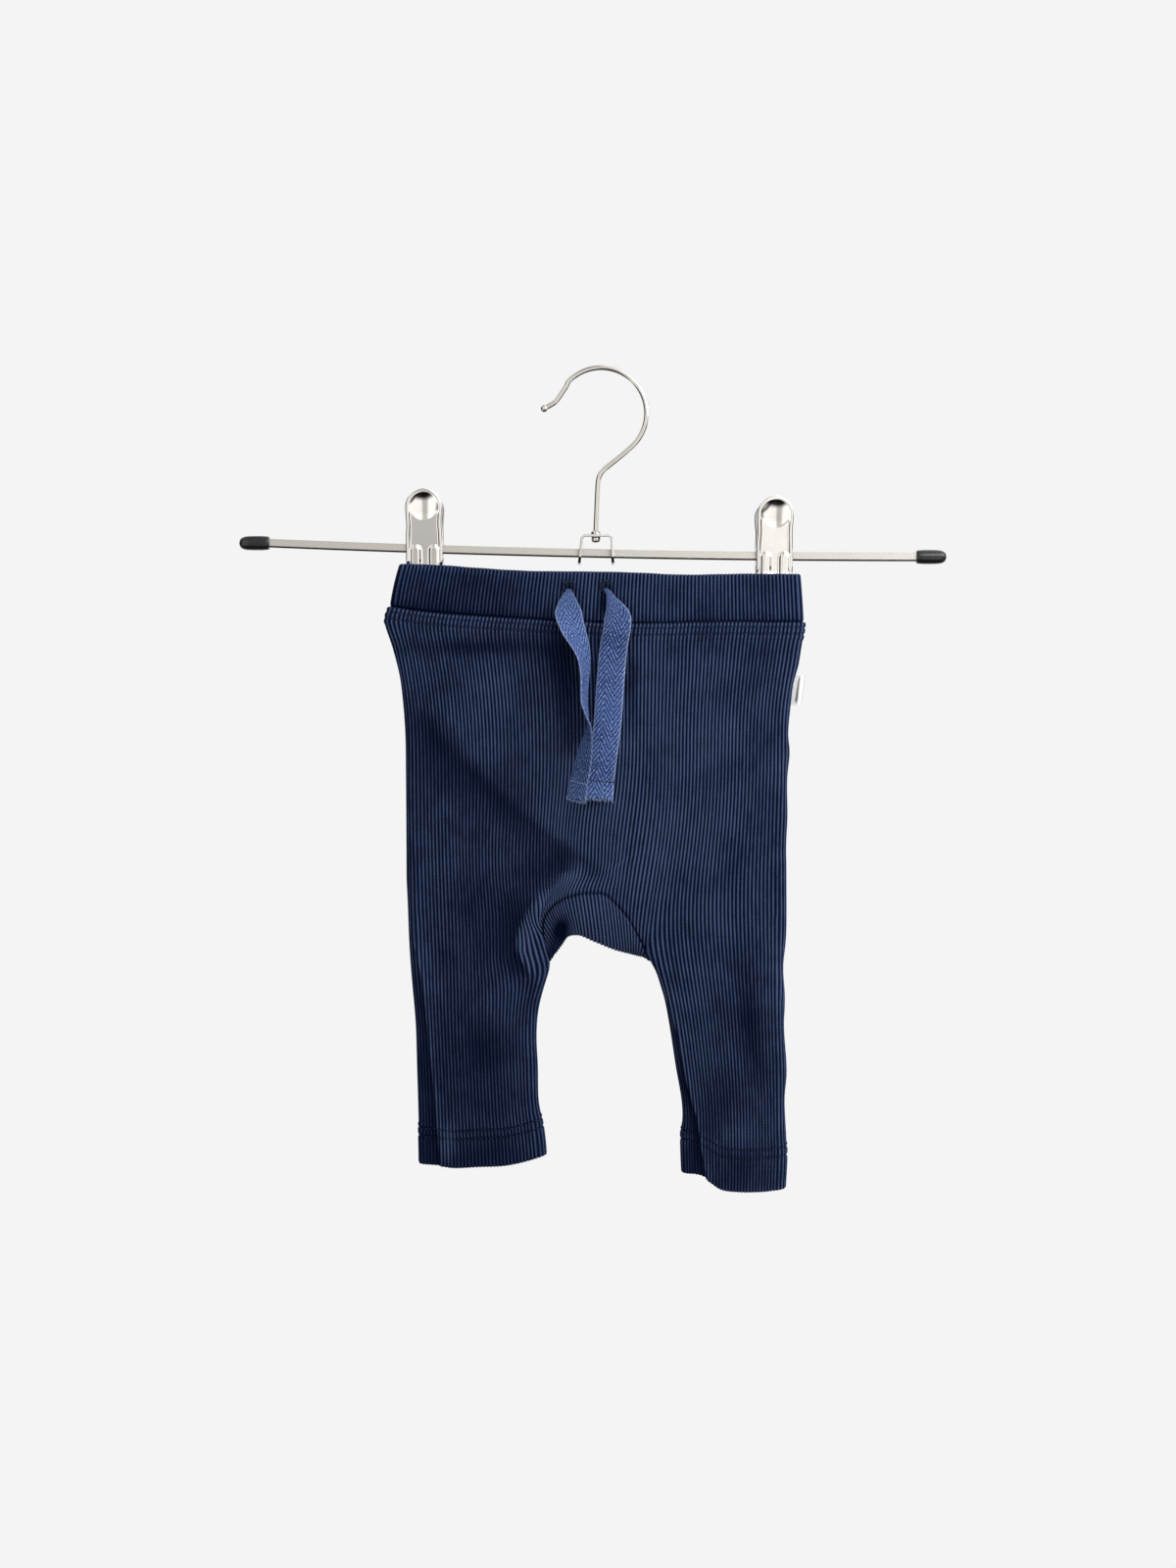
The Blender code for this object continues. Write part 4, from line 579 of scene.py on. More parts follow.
def rib_knit(name, dark, light, worn):
    """Rib jersey, faded crests and painted shade between the ribs: across counts ribs, along is in
    millimetres.
    """
    cloth = Finish(name, dark, 0.95, specular=0.02)
    across, along = cloth.place()
    shade = cloth.attribute("shade")
    phase = cloth.math("MULTIPLY", across, 2 * math.pi)
    crest = cloth.math("MULTIPLY_ADD", cloth.math("COSINE", phase), -0.5, 0.5)
    crest = cloth.math("POWER", crest, 2.3)
    from_crest = cloth.math("ABSOLUTE", cloth.math("SUBTRACT", cloth.math("FRACT", across), 0.5))
    leg_of_v = cloth.math("MULTIPLY_ADD", along, 1 / LOOP_PITCH, from_crest)
    loops = cloth.math("SINE", cloth.math("MULTIPLY", leg_of_v, 2 * math.pi))
    loops = cloth.math("MULTIPLY_ADD", loops, 0.5, 0.5)
    in_mm = cloth.combine(cloth.math("MULTIPLY", across, RIB_PITCH), along)
    streak = cloth.noise(cloth.combine(across, cloth.math("MULTIPLY", along, 0.11)), 1.0, 3.0)
    cloud = cloth.noise(in_mm, 0.045, 3.0)
    fleck = cloth.noise(in_mm, 1.5, 2.0, 0.7)
    fade = cloth.math("MULTIPLY_ADD", streak, 0.8, 0.1)
    for part, gain, base in ((cloud, 1.9, 0.05), (loops, 0.5, 0.75), (fleck, 1.1, 0.45),
                             (crest, 2.2, 0.02)):
        fade = cloth.math("MULTIPLY", fade, cloth.math("MULTIPLY_ADD", part, gain, base))
    # The shade attribute brings in painted shade and painted highlight (creases, folds, seams, the
    # tapes' shadows) as well as faded patches.
    fade = cloth.math("MULTIPLY", fade, cloth.math("ADD", shade, 1.0), clamp=True)
    colour = cloth.mix(fade, dark, light)
    speck = cloth.math("MULTIPLY", cloth.ramp(fleck, 0.60, 0.78), crest)
    speck = cloth.math("MULTIPLY", speck, cloth.math("MULTIPLY_ADD", shade, 0.4, 0.4))
    cloth.colour(cloth.mix(speck, colour, worn))
    nap = cloth.noise(in_mm, 3.2, 2.0)
    height = cloth.math("MULTIPLY", loops, cloth.math("MULTIPLY_ADD", crest, 0.8, 0.2))
    cloth.bump(cloth.math("MULTIPLY_ADD", nap, 0.7, height), 0.16)
    return cloth.material


def herringbone(name, dark, light, worn):
    """Cotton tape: across and along in millimetres, its twill turning back every few."""
    tape = Finish(name, dark, 0.9, specular=0.03)
    across, along = tape.place()
    zigzag = tape.math("PINGPONG", tape.math("ADD", across, TAPE_WIDTH / 2), TWILL_TURN)
    in_mm = tape.combine(across, along)
    slant = tape.math("MULTIPLY_ADD", zigzag, 1.7, along)
    slant = tape.math("MULTIPLY_ADD", tape.noise(in_mm, 0.9, 2.0), 0.8, slant)
    twill = tape.math("SINE", tape.math("MULTIPLY", slant, 2 * math.pi / TWILL_PITCH))
    twill = tape.math("MULTIPLY_ADD", twill, 0.5, 0.5)
    cloud = tape.noise(in_mm, 0.11, 3.0)
    grain = tape.noise(in_mm, 0.9, 3.0, 0.8)
    pale = tape.math("MULTIPLY", tape.math("MULTIPLY_ADD", tape.ramp(twill, 0.05, 0.8), 0.85, 0.2),
                     tape.math("MULTIPLY_ADD", grain, 2.8, -0.5))
    pale = tape.math("MULTIPLY", pale, tape.math("MULTIPLY_ADD", cloud, 1.5, 0.35))
    pale = tape.math("MULTIPLY", pale, tape.math("ADD", tape.attribute("shade"), 1.0), clamp=True)
    colour = tape.mix(pale, dark, light)
    rim = tape.ramp(tape.math("ABSOLUTE", across), TAPE_WIDTH / 2 - 0.9, TAPE_WIDTH / 2 - 0.3)
    fleck = tape.math("MULTIPLY", tape.math("MULTIPLY", tape.ramp(grain, 0.5, 0.66), twill), 0.75)
    fleck = tape.math("ADD", fleck, tape.math("MULTIPLY", rim, 0.3), clamp=True)
    tape.colour(tape.mix(fleck, colour, worn))
    tape.bump(tape.math("MULTIPLY_ADD", grain, 0.6, twill), 0.22)
    return tape.material


def thread(name, colour, pale):
    """Spun sewing thread with a little fluff."""
    made = Finish(name, colour, 0.8, specular=0.2)
    spot = made.spot()
    made.colour(made.mix(made.ramp(made.noise(spot, 2200, 2.0), 0.4, 0.65), colour, pale))
    made.bump(made.noise(spot, 3500, 2.0), 0.05)
    return made.material


def woven_white(name):
    """Plain white ribbon with a fine weave, and a painted shadow line where its shade is high."""
    made = Finish(name, (0.90, 0.90, 0.90), 0.75, specular=0.3)
    across, along = made.place()
    weave = made.math("MULTIPLY", made.math("SINE", made.math("MULTIPLY", across, 12.0)),
                      made.math("SINE", made.math("MULTIPLY", along, 12.0)))
    soil = made.noise(made.combine(across, along), 0.5, 2.0)
    ribbon = made.mix(soil, (0.86, 0.86, 0.87), (0.97, 0.97, 0.97))
    # Painted shadow: near black where the shade attribute marks the loop's opening.
    made.colour(made.mix(made.attribute("shade"), ribbon, (0.03, 0.03, 0.03)))
    made.bump(weave, 0.05)
    return made.material


def bright_steel(name, colour, roughness, smear, black_below=-1000.0, bump=0.12):
    """Nickel-plated steel with faint handling marks, black below a given height."""
    made = Finish(name, colour, roughness, metallic=1.0)
    spot = made.spot()
    marks = made.noise(spot, smear, 4.0, 0.6)
    made.roughness(made.math("MULTIPLY_ADD", marks, 0.10, roughness - 0.04))
    bright = made.mix(marks, colour, tuple(0.88 * c for c in colour))
    split = made.node("SeparateXYZ")
    made.feed(split.inputs[0], spot)
    above_black = made.ramp(split.outputs[2], (black_below - 0.3) * MM, (black_below + 0.3) * MM)
    made.colour(made.mix(above_black, (0.004, 0.004, 0.004), bright))
    made.bump(made.noise(spot, smear * 0.35, 2.0), bump, 0.25)
    return made.material


def soft_rubber(name):
    made = Finish(name, (0.010, 0.010, 0.011), 0.22, specular=0.5)
    spot = made.spot()
    scuff = made.noise(spot, 900, 3.0)
    made.roughness(made.math("MULTIPLY_ADD", scuff, 0.25, 0.12))
    made.bump(made.noise(spot, 260, 2.0), 0.2, 0.3)
    return made.material


# ------------------------------------------------------------------ the cloth's sections
def half_section(left, right, corner, swell, reach, side, shares, trims=(GAP / 2, GAP / 2)):
    """x, y and outward normal along the front (side -1) or back (side 1) of a flat tube.

    The trims are the lengths left out at its two ends, where the other half begins.
    """
    turn = np.linspace(0, math.pi / 2, 25)
    middle = np.linspace(left + corner, right - corner, 202)[1:-1]
    centre, half = (left + right) / 2, (right - left) / 2 - corner
    u = np.clip(np.abs(middle - centre) / (half * reach), 0, 1)
    out = corner + swell * (1 - u**2) ** 2
    x = np.concatenate([left + corner - corner * np.cos(turn), middle,
                        right - corner + corner * np.sin(turn)])
    y = np.concatenate([corner * np.sin(turn), out, corner * np.cos(turn)])
    line = np.column_stack([x, y])
    before, after = line[1] * (1, -1), line[-2] * (1, -1)
    longer = np.vstack([before, line, after])
    tangent = unit(longer[2:] - longer[:-2])
    normal = np.column_stack([-tangent[:, 1], tangent[:, 0]])
    along = travel(line)
    at = trims[0] + np.asarray(shares) * (along[-1] - sum(trims))
    x, y = (np.interp(at, along, line[:, k]) for k in (0, 1))
    nx, ny = (np.interp(at, along, normal[:, k]) for k in (0, 1))
    normal = unit(np.column_stack([nx, side * ny, np.zeros_like(nx)]))
    return x, MID_Y + side * y, normal


def gusset_seam(shares, side):
    """Points and normals of the crotch seam on the front or back, leg to leg."""
    knots = travel(np.column_stack([GUSSET_SEAM["x"], GUSSET_SEAM["z"]]))
    fine = np.linspace(0, knots[-1], 400)
    path = {"s": knots, **GUSSET_SEAM}
    x, z, depth = (read(path, name, fine, "s") for name in ("x", "z", "depth"))
    crowd = 0.15 + SEAM_CROWD * smooth((-14 - x[:-1]) / 8)  # ribs fan round the left end
    across = np.abs(np.diff(x)) + crowd * np.hypot(np.diff(x), np.diff(z))
    progress = np.concatenate([[0], np.cumsum(across)]) / np.sum(across)
    u = np.asarray(shares, float)
    x, z, depth = (np.interp(u, progress, v) for v in (x, z, depth))
    lean = [math.pi / 2 - fold_angle(leg) for leg in INWARDS]
    turn = lean[0] * np.exp(-u / 0.05) - lean[1] * np.exp(-(1 - u) / 0.05)
    normal = np.column_stack([np.sin(turn), side * np.cos(turn), np.zeros_like(u)])
    return np.column_stack([x, MID_Y + side * depth, z]), normal


def fold_angle(leg):
    """How far round a leg's inner fold the gusset's seam begins."""
    return math.asin(GUSSET_SEAM["depth"][0 if leg == "left" else -1] / LEG_TOP_CORNER)


def waist_seam(shares):
    """Height of the waist seam at shares of the way from the left side to the right."""
    return read(WAIST_SEAM, "z", SEAM_START + np.asarray(shares) * SEAM_SPAN, "x")


def section_row(sections, z, side):
    names = ("corner", "front" if side < 0 else "back", "reach")
    return [float(read(sections, name, z)) for name in names]


def leg_section(leg, side, inner, outer_z, section_z, shares, trims=(GAP / 2, GAP / 2)):
    """A leg's row from x and z at its inner side to a height at its outer one."""
    outer_x = float(read(BODY_SIDES, leg, outer_z)) + INWARDS[leg] * (SKIN - RIB / 2)
    low, high = sorted((outer_x, inner[0]))
    size = section_row(LEG_SECTIONS, section_z, side)
    x, y, normal = half_section(low, high, *size, side, shares, trims)
    start, end = (outer_z, inner[1])[:: INWARDS[leg]]
    return np.column_stack([x, y, start + (end - start) * np.asarray(shares)]), normal


def leg_row(leg, side, share, shares):
    """One leg's columns at a share of the way from the gusset's tip to the hem."""
    hem, inwards = HEMS[leg], INWARDS[leg]
    ends = [float(read(hem, "z", x, "x")) for x in (hem["x"].min(), hem["x"].max())]
    outer_hem, inner_hem = ends[::inwards]
    inner_top = GUSSET_TIPS[leg]
    outer_top = inner_top + OUTER_CLIMB[leg]
    inner_z = inner_top + share * (inner_hem - inner_top)
    outer_z = outer_top + share * (outer_hem - outer_top)
    inner_x = float(read(INSEAMS, leg, inner_z)) - inwards * (SKIN - RIB / 2)
    points, normal = leg_section(leg, side, (inner_x, inner_z), outer_z,
                                 (inner_z + outer_z) / 2, shares)
    straight_hem = ends[0] + (ends[1] - ends[0]) * np.asarray(shares)
    bend = smooth((share - 0.5) / 0.5)
    points[:, 2] += bend * (read(hem, "z", points[:, 0], "x") - straight_hem)
    return points, normal


def leg_top(leg, side, seam, shares):
    """The row of a leg that begins where the gusset's seam leaves its inner fold."""
    angle, inwards = fold_angle(leg), INWARDS[leg]
    inner = (seam[0] + inwards * LEG_TOP_CORNER * (1 - math.cos(angle)), seam[2])
    trims = (GAP / 2, LEG_TOP_CORNER * angle)[::inwards]
    return leg_section(leg, side, inner, seam[2] + OUTER_CLIMB[leg], LEG_TOP, shares, trims)


def junction_row(side):
    """All columns at the height of the crotch: leg, gusset seam, leg."""
    first, last, count = PANEL_COLUMNS
    seam = gusset_seam(np.linspace(0, 1, last - first + 1), side)
    left = leg_top("left", side, seam[0][0], np.linspace(0, 1, first + 1))
    right = leg_top("right", side, seam[0][-1], np.linspace(0, 1, count - last + 1))
    return tuple(np.vstack([a[:-1], b, c[1:]]) for a, b, c in zip(left, seam, right))


def body_row(side, share, junction):
    """All columns at a share of the way from the waist seam to the crotch."""
    shares = np.linspace(0, 1, PANEL_COLUMNS[2] + 1)
    z = waist_seam(shares) - GAP
    z = z + share * (junction[:, 2] - z)
    left = float(read(BODY_SIDES, "left", z[0])) + SKIN - RIB / 2
    right = float(read(BODY_SIDES, "right", z[-1])) - SKIN + RIB / 2
    size = section_row(BODY_SECTIONS, BODY_TOP - share * BODY_DROP, side)
    x, y, normal = half_section(left, right, *size, side, shares)
    blend = float(smooth((share - 0.5) / 0.5))
    aside = bowed_columns(junction[:, 0]) - junction[:, 0]
    aside = aside * np.clip((z - junction[:, 2]) / 12, 0, 1)
    x = x + blend * (junction[:, 0] + aside - x)
    y = y + blend ** (1 + 25 * corner_weights()) * (junction[:, 1] - y)
    return np.column_stack([x, y, z]), normal


def bowed_columns(x):
    """x of the columns just above the crotch, kept apart where the seam doubles back."""
    bowed = x.copy()
    room = COLUMN_ROOM * 2 / PER_RIB
    for k in range(PANEL_COLUMNS[1] - 1, -1, -1):
        bowed[k] = min(x[k], bowed[k + 1] - room)
    return bowed


def corner_weights():
    """How near each column is to an end of the gusset's seam."""
    first, last, count = PANEL_COLUMNS
    column = np.arange(count + 1)
    crotch = last - first
    left = np.where(column > first, np.clip(1 - (column - first) / (0.14 * crotch), 0, 1),
                    np.exp(-(first - column) / (5.0 * PER_RIB)))
    right = np.where(column < last, np.clip(1 - (last - column) / (0.2 * crotch), 0, 1),
                     np.exp(-(column - last) / (3.0 * PER_RIB)))
    return left + right


def stretch(x, z, start, run):
    """Share of the way along a straight stretch that is nearest, and the distance to it."""
    (x0, z0), (dx, dz) = start, run
    t = np.clip(((x - x0) * dx + (z - z0) * dz) / (dx * dx + dz * dz), 0, 1)
    return t, np.hypot(x - x0 - t * dx, z - z0 - t * dz)


def crease_height(creases, x, z):
    """Height of a panel's creases at places on it."""
    height = np.zeros(np.shape(x))
    for x0, z0, x1, z1, rise, width in zip(*creases.values()):
        _, away = stretch(x, z, (x0, z0), (x1 - x0, z1 - z0))
        height = height + rise * np.exp(-((away / width) ** 2))
    return height


def fold_height(fold, x, z):
    """How far the strip beyond a lengthwise fold in a leg is set back."""
    top, bottom = fold["z"].max(), fold["z"].min()
    at = np.clip(z, bottom, top)
    inside = (z < top) & (z > bottom - 1)
    return -read(fold, "depth", at) * smooth((read(fold, "x", at) - x) / 0.9 + 0.5) * inside


def from_path(path, x, z):
    """Distance to the right of a path, below 0 on its left, and the share of the way down it."""
    corners = np.column_stack([path["x"], path["z"]])
    knots = travel(corners)
    nearest, hand, share = np.full((3, *np.shape(x)), 1e6)
    for k, (start, run) in enumerate(zip(corners, np.diff(corners, axis=0))):
        t, away = stretch(x, z, start, run)
        closer = away < nearest
        nearest = np.where(closer, away, nearest)
        turn = (x - start[0]) * run[1] - (z - start[1]) * run[0]
        hand = np.where(closer, np.sign(turn), hand)
        share = np.where(closer, (knots[k] + t * (knots[k + 1] - knots[k])) / knots[-1], share)
    return nearest * hand, share


def lips(x, z):
    """Height of the folds that lie over to one side, and their painted highlight and shadow."""
    height, painted_light = np.zeros((2, *np.shape(x)))
    for k, path in enumerate((CROTCH_LIP, HIP_LIP, LEFT_FOLD, RIGHT_FOLD)):
        form = {name: column[k] for name, column in LIP_FORM.items()}
        beyond, share = from_path(path, x, z)
        there = smooth(share / 0.15) * smooth((1 - share) / 0.1)
        over = smooth(beyond / (form["edge"] * (1 + form["early"] * (1 - share) ** 2)) + 0.5)
        wide = np.where(beyond > 0, form["fall"], form["slack"])
        height = height + form["rise"] * there * np.exp(-((beyond / wide) ** 2))
        lit = form["lit"] * np.exp(-((beyond / form["lit_wide"]) ** 2)) * (1 - over)
        dark = form["dark"] * np.exp(-np.maximum(beyond, 0) / form["dark_wide"]) * over
        painted_light = painted_light + there * (lit + dark)
    return height, painted_light


def crotch_sway(points):
    """How far the front's ribs step aside where they cross the fold over the crotch."""
    beyond, share = from_path(CROTCH_LIP, points[..., 0], points[..., 2])
    aside = np.interp(share, SWAY_AT, SWAY_ASIDE)
    aside = aside * np.exp(-((beyond / np.where(beyond > 0, SWAY_ABOVE, SWAY_BELOW)) ** 2))
    column = np.arange(points.shape[1])[None]
    over_seam = smooth((points[..., 2] - points[BODY_END][None, :, 2]) / SWAY_OVER_SEAM)
    from_inseam = smooth((PANEL_COLUMNS[0] - column) / 10)
    return aside * np.maximum(over_seam, from_inseam)


def front_relief(x, z):
    relief = crease_height(FRONT_CREASES, x, z) + lips(x, z)[0]
    relief = relief + np.where(x < -60, fold_height(LEFT_FOLD, x, z), 0)
    relief = relief + np.where((x > 20) & (x < 64), fold_height(RIGHT_FOLD, x, z), 0)
    return relief + unevenness(x, z, 0.4)


def back_relief(x, z):
    return crease_height(BACK_CREASES, x, z) + unevenness(x, z, 2.1)


def unevenness(x, z, turn):
    """The slack of worn knit: long soft waves, a few tenths of a millimetre high."""
    return (0.16 * np.sin(x / 11 + z / 27 + turn) * np.sin(z / 23 - x / 47 + 2 * turn)
            + 0.10 * np.sin(x / 5.2 - z / 14 + turn) * np.sin(z / 11 + x / 19))


def waist_relief(points, normal):
    """The waistband bulges a little between its gathers and dips at the drawstring's holes."""
    x, z = points[..., 0], points[..., 2]
    front = smooth((-normal[..., 1] - 0.2) / 0.5)
    relief = 0.16 * np.sin(x / 7.3 + z / 19) * np.sin(x / 3.9 - z / 9 + 0.7)
    for hole in EYELETS.values():
        away = np.hypot(x - hole, z - EYELET_Z)
        relief = relief - 0.35 * front * np.exp(-((away / 5.0) ** 2))
    return relief


def surface_normals(points, side):
    """Outward normals of a grid of points whose columns run left to right, rows down."""
    down = np.gradient(points, axis=0)
    across = np.gradient(points, axis=1)
    normal = np.cross(down, across)
    return unit(normal if side < 0 else -normal)


def evened(normal, window):
    """Normals averaged over neighbouring columns, the two edge columns left as they are."""
    total = np.cumsum(np.pad(normal, ((0, 0), (window + 1, window), (0, 0)), mode="edge"), axis=1)
    mean = unit(total[:, 2 * window + 1 :] - total[:, : -2 * window - 1])
    keep = np.clip(np.minimum(np.arange(normal.shape[1]), np.arange(normal.shape[1])[::-1])
                   / window, 0, 1)[None, :, None]
    return unit(normal * (1 - keep) + mean * keep)


def eased(points):
    """Takes the sudden bends out of the ribs, but leaves the seams where they are."""
    first, last, count = PANEL_COLUMNS
    rows = points.shape[0]
    row, column = np.arange(rows)[:, None], np.arange(count + 1)[None]
    from_side = smooth(np.minimum(column, count - column) / EASE_COLUMNS)
    from_inseam = smooth(np.maximum((first - column) / 2.2, column - last) / EASE_COLUMNS)
    above = smooth((BODY_END - row) / EASE_ROWS)
    over_crotch = (column > first) & (column < last)
    weight = np.where(over_crotch, above, from_inseam + (1 - from_inseam) * above) * from_side
    weight = weight * smooth((rows - 1 - row) / 8)
    for _ in range(EASE_PASSES):
        step = (points[:-2] + points[2:]) / 2 - points[1:-1]
        points[1:-1] += 0.5 * weight[1:-1, :, None] * step
    return points


def panel_surface(side, relief):
    """Middle surface and normals of a panel. Crotch columns end at the junction."""
    first, last, count = PANEL_COLUMNS
    junction = junction_row(side)
    made = [body_row(side, share, junction[0]) for share in BODY_SHARES[:-1]] + [junction]
    for share in LEG_SHARES:
        left = leg_row("left", side, share, np.linspace(0, 1, first + 1))
        right = leg_row("right", side, share, np.linspace(0, 1, count - last + 1))
        between = [np.repeat(part[-1:], last - first - 1, axis=0) for part in left]
        made.append([np.vstack(parts) for parts in zip(left, between, right)])
    points, normal = (np.array(part) for part in zip(*made))
    points = eased(points)
    if side < 0:
        points[..., 0] += crotch_sway(points)
    body = BODY_END
    above = surface_normals(points[: body + 1], side)
    normal[1:body, 1:-1] = above[1:-1, 1:-1]
    normal[1:body] = evened(normal[1:body], 3 * PER_RIB)
    for start, stop in ((0, first), (last, count)):
        leg = surface_normals(points[body:, start : stop + 1], side)
        normal[body + 1 : -1, start + 1 : stop] = leg[1:-1, 1:-1]
        steep = surface_normals(points[:, start : stop + 1], side)
        normal[body, start + 1 : stop] = steep[body, 1:-1]
    height = relief(points[..., 0], points[..., 2])
    fade = np.abs(normal[..., 1])  # creases die out round the side folds
    return points + normal * (height * fade)[..., None], normal


def panel_edge(shares, side):
    """Points and normals along a panel's own edge: its seam, then down the inner folds."""
    knots = np.linspace(0, 1, CROTCH_RIBS * PER_RIB + 1)
    parts = (leg_row("left", side, 0, [1.0]), gusset_seam(knots, side),
             leg_row("right", side, 0, [0.0]))
    knots = np.concatenate([[-1], knots, [2]])
    points, normal = (
        np.column_stack([np.interp(shares, knots, line) for line in np.vstack(part).T])
        for part in zip(*parts))
    return points, unit(normal)


def gusset_surface(shares):
    """Middle surface of the crotch piece, from the front seam, under, to the back seam."""
    front, front_normal = panel_edge(shares, -1)
    back, back_normal = panel_edge(shares, 1)
    fold_x, fold_z = (read(GUSSET_FOLD, name, shares, "share") for name in ("x", "z"))
    fold = np.column_stack([fold_x, np.full_like(fold_x, MID_Y), fold_z])
    past_seam = np.maximum(-shares, shares - 1)
    tip = np.clip(past_seam * 1.4, 0, 1)[:, None]
    beyond = np.clip(past_seam, 0, 1)[:, None]
    room = GAP + 1.7 * beyond * (1 - beyond)
    front = front + room * unit(np.cross(np.gradient(front, axis=0), front_normal))
    back = back - room * unit(np.cross(np.gradient(back, axis=0), back_normal))
    rows = []
    for angle in np.radians(GUSSET_ANGLES):
        edge = front if angle <= math.pi / 2 else back
        drop = math.sin(angle)
        row = edge * (1 - drop) + fold * drop
        row[:, 1] = MID_Y + (edge[:, 1] - MID_Y) * abs(math.cos(angle))
        rows.append(row)
    points = np.array(rows)
    normal = -surface_normals(points, 1)
    normal[0], normal[-1] = front_normal, back_normal
    lengthwise = unit(np.gradient(fold, axis=0))[None]
    plain = unit(np.cross(np.gradient(points, axis=0), lengthwise))
    normal[1:-1] = unit(normal[1:-1] * (1 - tip) + plain[1:-1] * tip)
    return points, normal, 1 - 0.65 * tip[:, 0]


def waistband_row(share):
    """The whole ring at a share of the way down the waistband, front then back."""
    rows = []
    shares = np.linspace(0, 1, PANEL_COLUMNS[2] + 1)
    across = np.linspace(-99, 99, len(shares))
    for side in (-1, 1):
        top = read(WAIST_TOP, "z", across, "x")
        if side > 0:
            top = top + 1.7 * np.exp(-((across / 45) ** 2))  # the back stands a little higher
        z = top + share * (waist_seam(shares) - top)
        inset = BAND_WALL / 2 + RIB / 2
        left = float(read(WAIST_SIDES, "left", z[0])) + inset - BAND_FLARE * share
        right = float(read(WAIST_SIDES, "right", z[-1])) - inset
        swell = WAIST_SECTION["front" if side < 0 else "back"]
        x, y, normal = half_section(left, right, BAND_CORNER, swell, WAIST_SECTION["reach"],
                                    side, shares)
        rows.append((np.column_stack([x, y, z]), normal))
    return [np.vstack([front[:-1], back[:0:-1]]) for front, back in zip(*rows)]


def cloth_front(x, z):
    """y of the ribs' crests at the middle of the garment's front."""
    if z > -124:
        return MID_Y - BAND_CORNER - WAIST_SECTION["front"] - BAND_WALL / 2 - RIB
    corner, swell, _ = section_row(BODY_SECTIONS, z, -1)
    lift = BAND_LIFT if z > -133 else 0.0
    lean = swell * (1 - (1 - (x / 90) ** 2) ** 2)
    return MID_Y - corner - swell + lean - SKIN - lift


# ------------------------------------------------------------------ walls of cloth
class Wall:
    """A closed wall: an outer grid and an inner one with fewer rows, joined by rims.

    The places give, for each point, across and along the cloth and the painted shade or light there.
    """

    def __init__(self, outer, inner, outer_uv, inner_uv):
        self.grids = {"outer": outer, "inner": inner}
        self.places = {"outer": outer_uv, "inner": inner_uv}
        self.points, self.uv, self.faces, self.index = [], [], [], {}

    def vertex(self, layer, row, column):
        key = (layer, row, column)
        if key not in self.index:
            self.index[key] = len(self.points)
            self.points.append(self.grids[layer][row, column])
            self.uv.append(self.places[layer][row, column])
        return self.index[key]

    def patch(self, layer, rows, columns):
        """Quads over neighbouring rows and columns of a layer."""
        for a, b in zip(rows[:-1], rows[1:]):
            for c, d in zip(columns[:-1], columns[1:]):
                self.faces.append([self.vertex(layer, *p) for p in ((a, c), (b, c), (b, d), (a, d))])

    def strip(self, outer, inner):
        """Quads between runs of as many outer and inner cells."""
        a = [self.vertex("outer", *p) for p in outer]
        b = [self.vertex("inner", *p) for p in inner]
        for k in range(len(a) - 1):
            self.faces.append([a[k], a[k + 1], b[k + 1], b[k]])

    def side(self, rows, plain, column):
        """Triangles down a side edge, from every outer row to the fewer inner ones."""
        outer = [self.vertex("outer", row, column) for row in rows]
        inner = [self.vertex("inner", row, column) for row in plain]
        places = [rows.index(row) for row in plain]
        places[-1] = len(rows) - 1
        for k in range(len(plain) - 1):
            start, end = places[k], places[k + 1]
            middle = (start + end + 1) // 2
            for i in range(start, middle):
                self.faces.append([outer[i], outer[i + 1], inner[k]])
            self.faces.append([inner[k], outer[middle], inner[k + 1]])
            for i in range(middle, end):
                self.faces.append([outer[i], outer[i + 1], inner[k + 1]])

    def build(self, name, finish, shade):
        mesh = mesh_of(name, self.points, self.faces)
        points, places = np.array(self.points), np.array(self.uv)
        lay_out(mesh, places[:, :2])
        tint(mesh, "shade", shade(points[:, 0], points[:, 2]) + places[:, 2])
        return add_object(name, mesh, finish)


class Face:
    """The outer face of a piece, so that sewing can be laid on it."""

    def __init__(self, points, normal, down):
        self.points, self.normal, self.down = points, normal, down

    def at(self, column, distance, height):
        """A point at a column and a distance down it, standing off the middle surface."""
        low = int(min(max(column, 0), self.points.shape[1] - 2))
        share = column - low
        found = []
        for k in (low, low + 1):
            rows = np.arange(len(self.down))
            row = np.interp(distance, self.down[:, k], rows)
            first = int(min(row, len(rows) - 2))
            t = row - first
            middle = self.points[first, k] * (1 - t) + self.points[first + 1, k] * t
            normal = self.normal[first, k] * (1 - t) + self.normal[first + 1, k] * t
            found.append(middle + unit(normal) * height)
        return found[0] * (1 - share) + found[1] * share


def lengths(points):
    """Distance down each column from its first row."""
    steps = np.linalg.norm(np.diff(points, axis=0), axis=2)
    return np.vstack([np.zeros(points.shape[1]), np.cumsum(steps, axis=0)])


def rolled(grid, normal, out, back):
    """Rows that carry a wall's last row round a folded edge towards its inner face."""
    along = unit(grid[-1] - grid[-2])
    middle, half = (out + back) / 2, (out - back) / 2
    return np.array([grid[-1] + normal[-1] * (middle + half * math.cos(a))[:, None]
                     + along * (half * math.sin(a))[:, None] for a in ROLL])


def rib_profile(count):
    """Height of each column above the valleys, with a valley at each edge."""
    wave = (1 - np.cos(2 * math.pi * np.arange(count + 1) / PER_RIB)) / 2
    return RIB * wave**0.85


def near(distance, places, width):
    """1 at any of some distances, fading over a width."""
    return sum(np.exp(-(((distance - place) / width) ** 2)) for place in places)


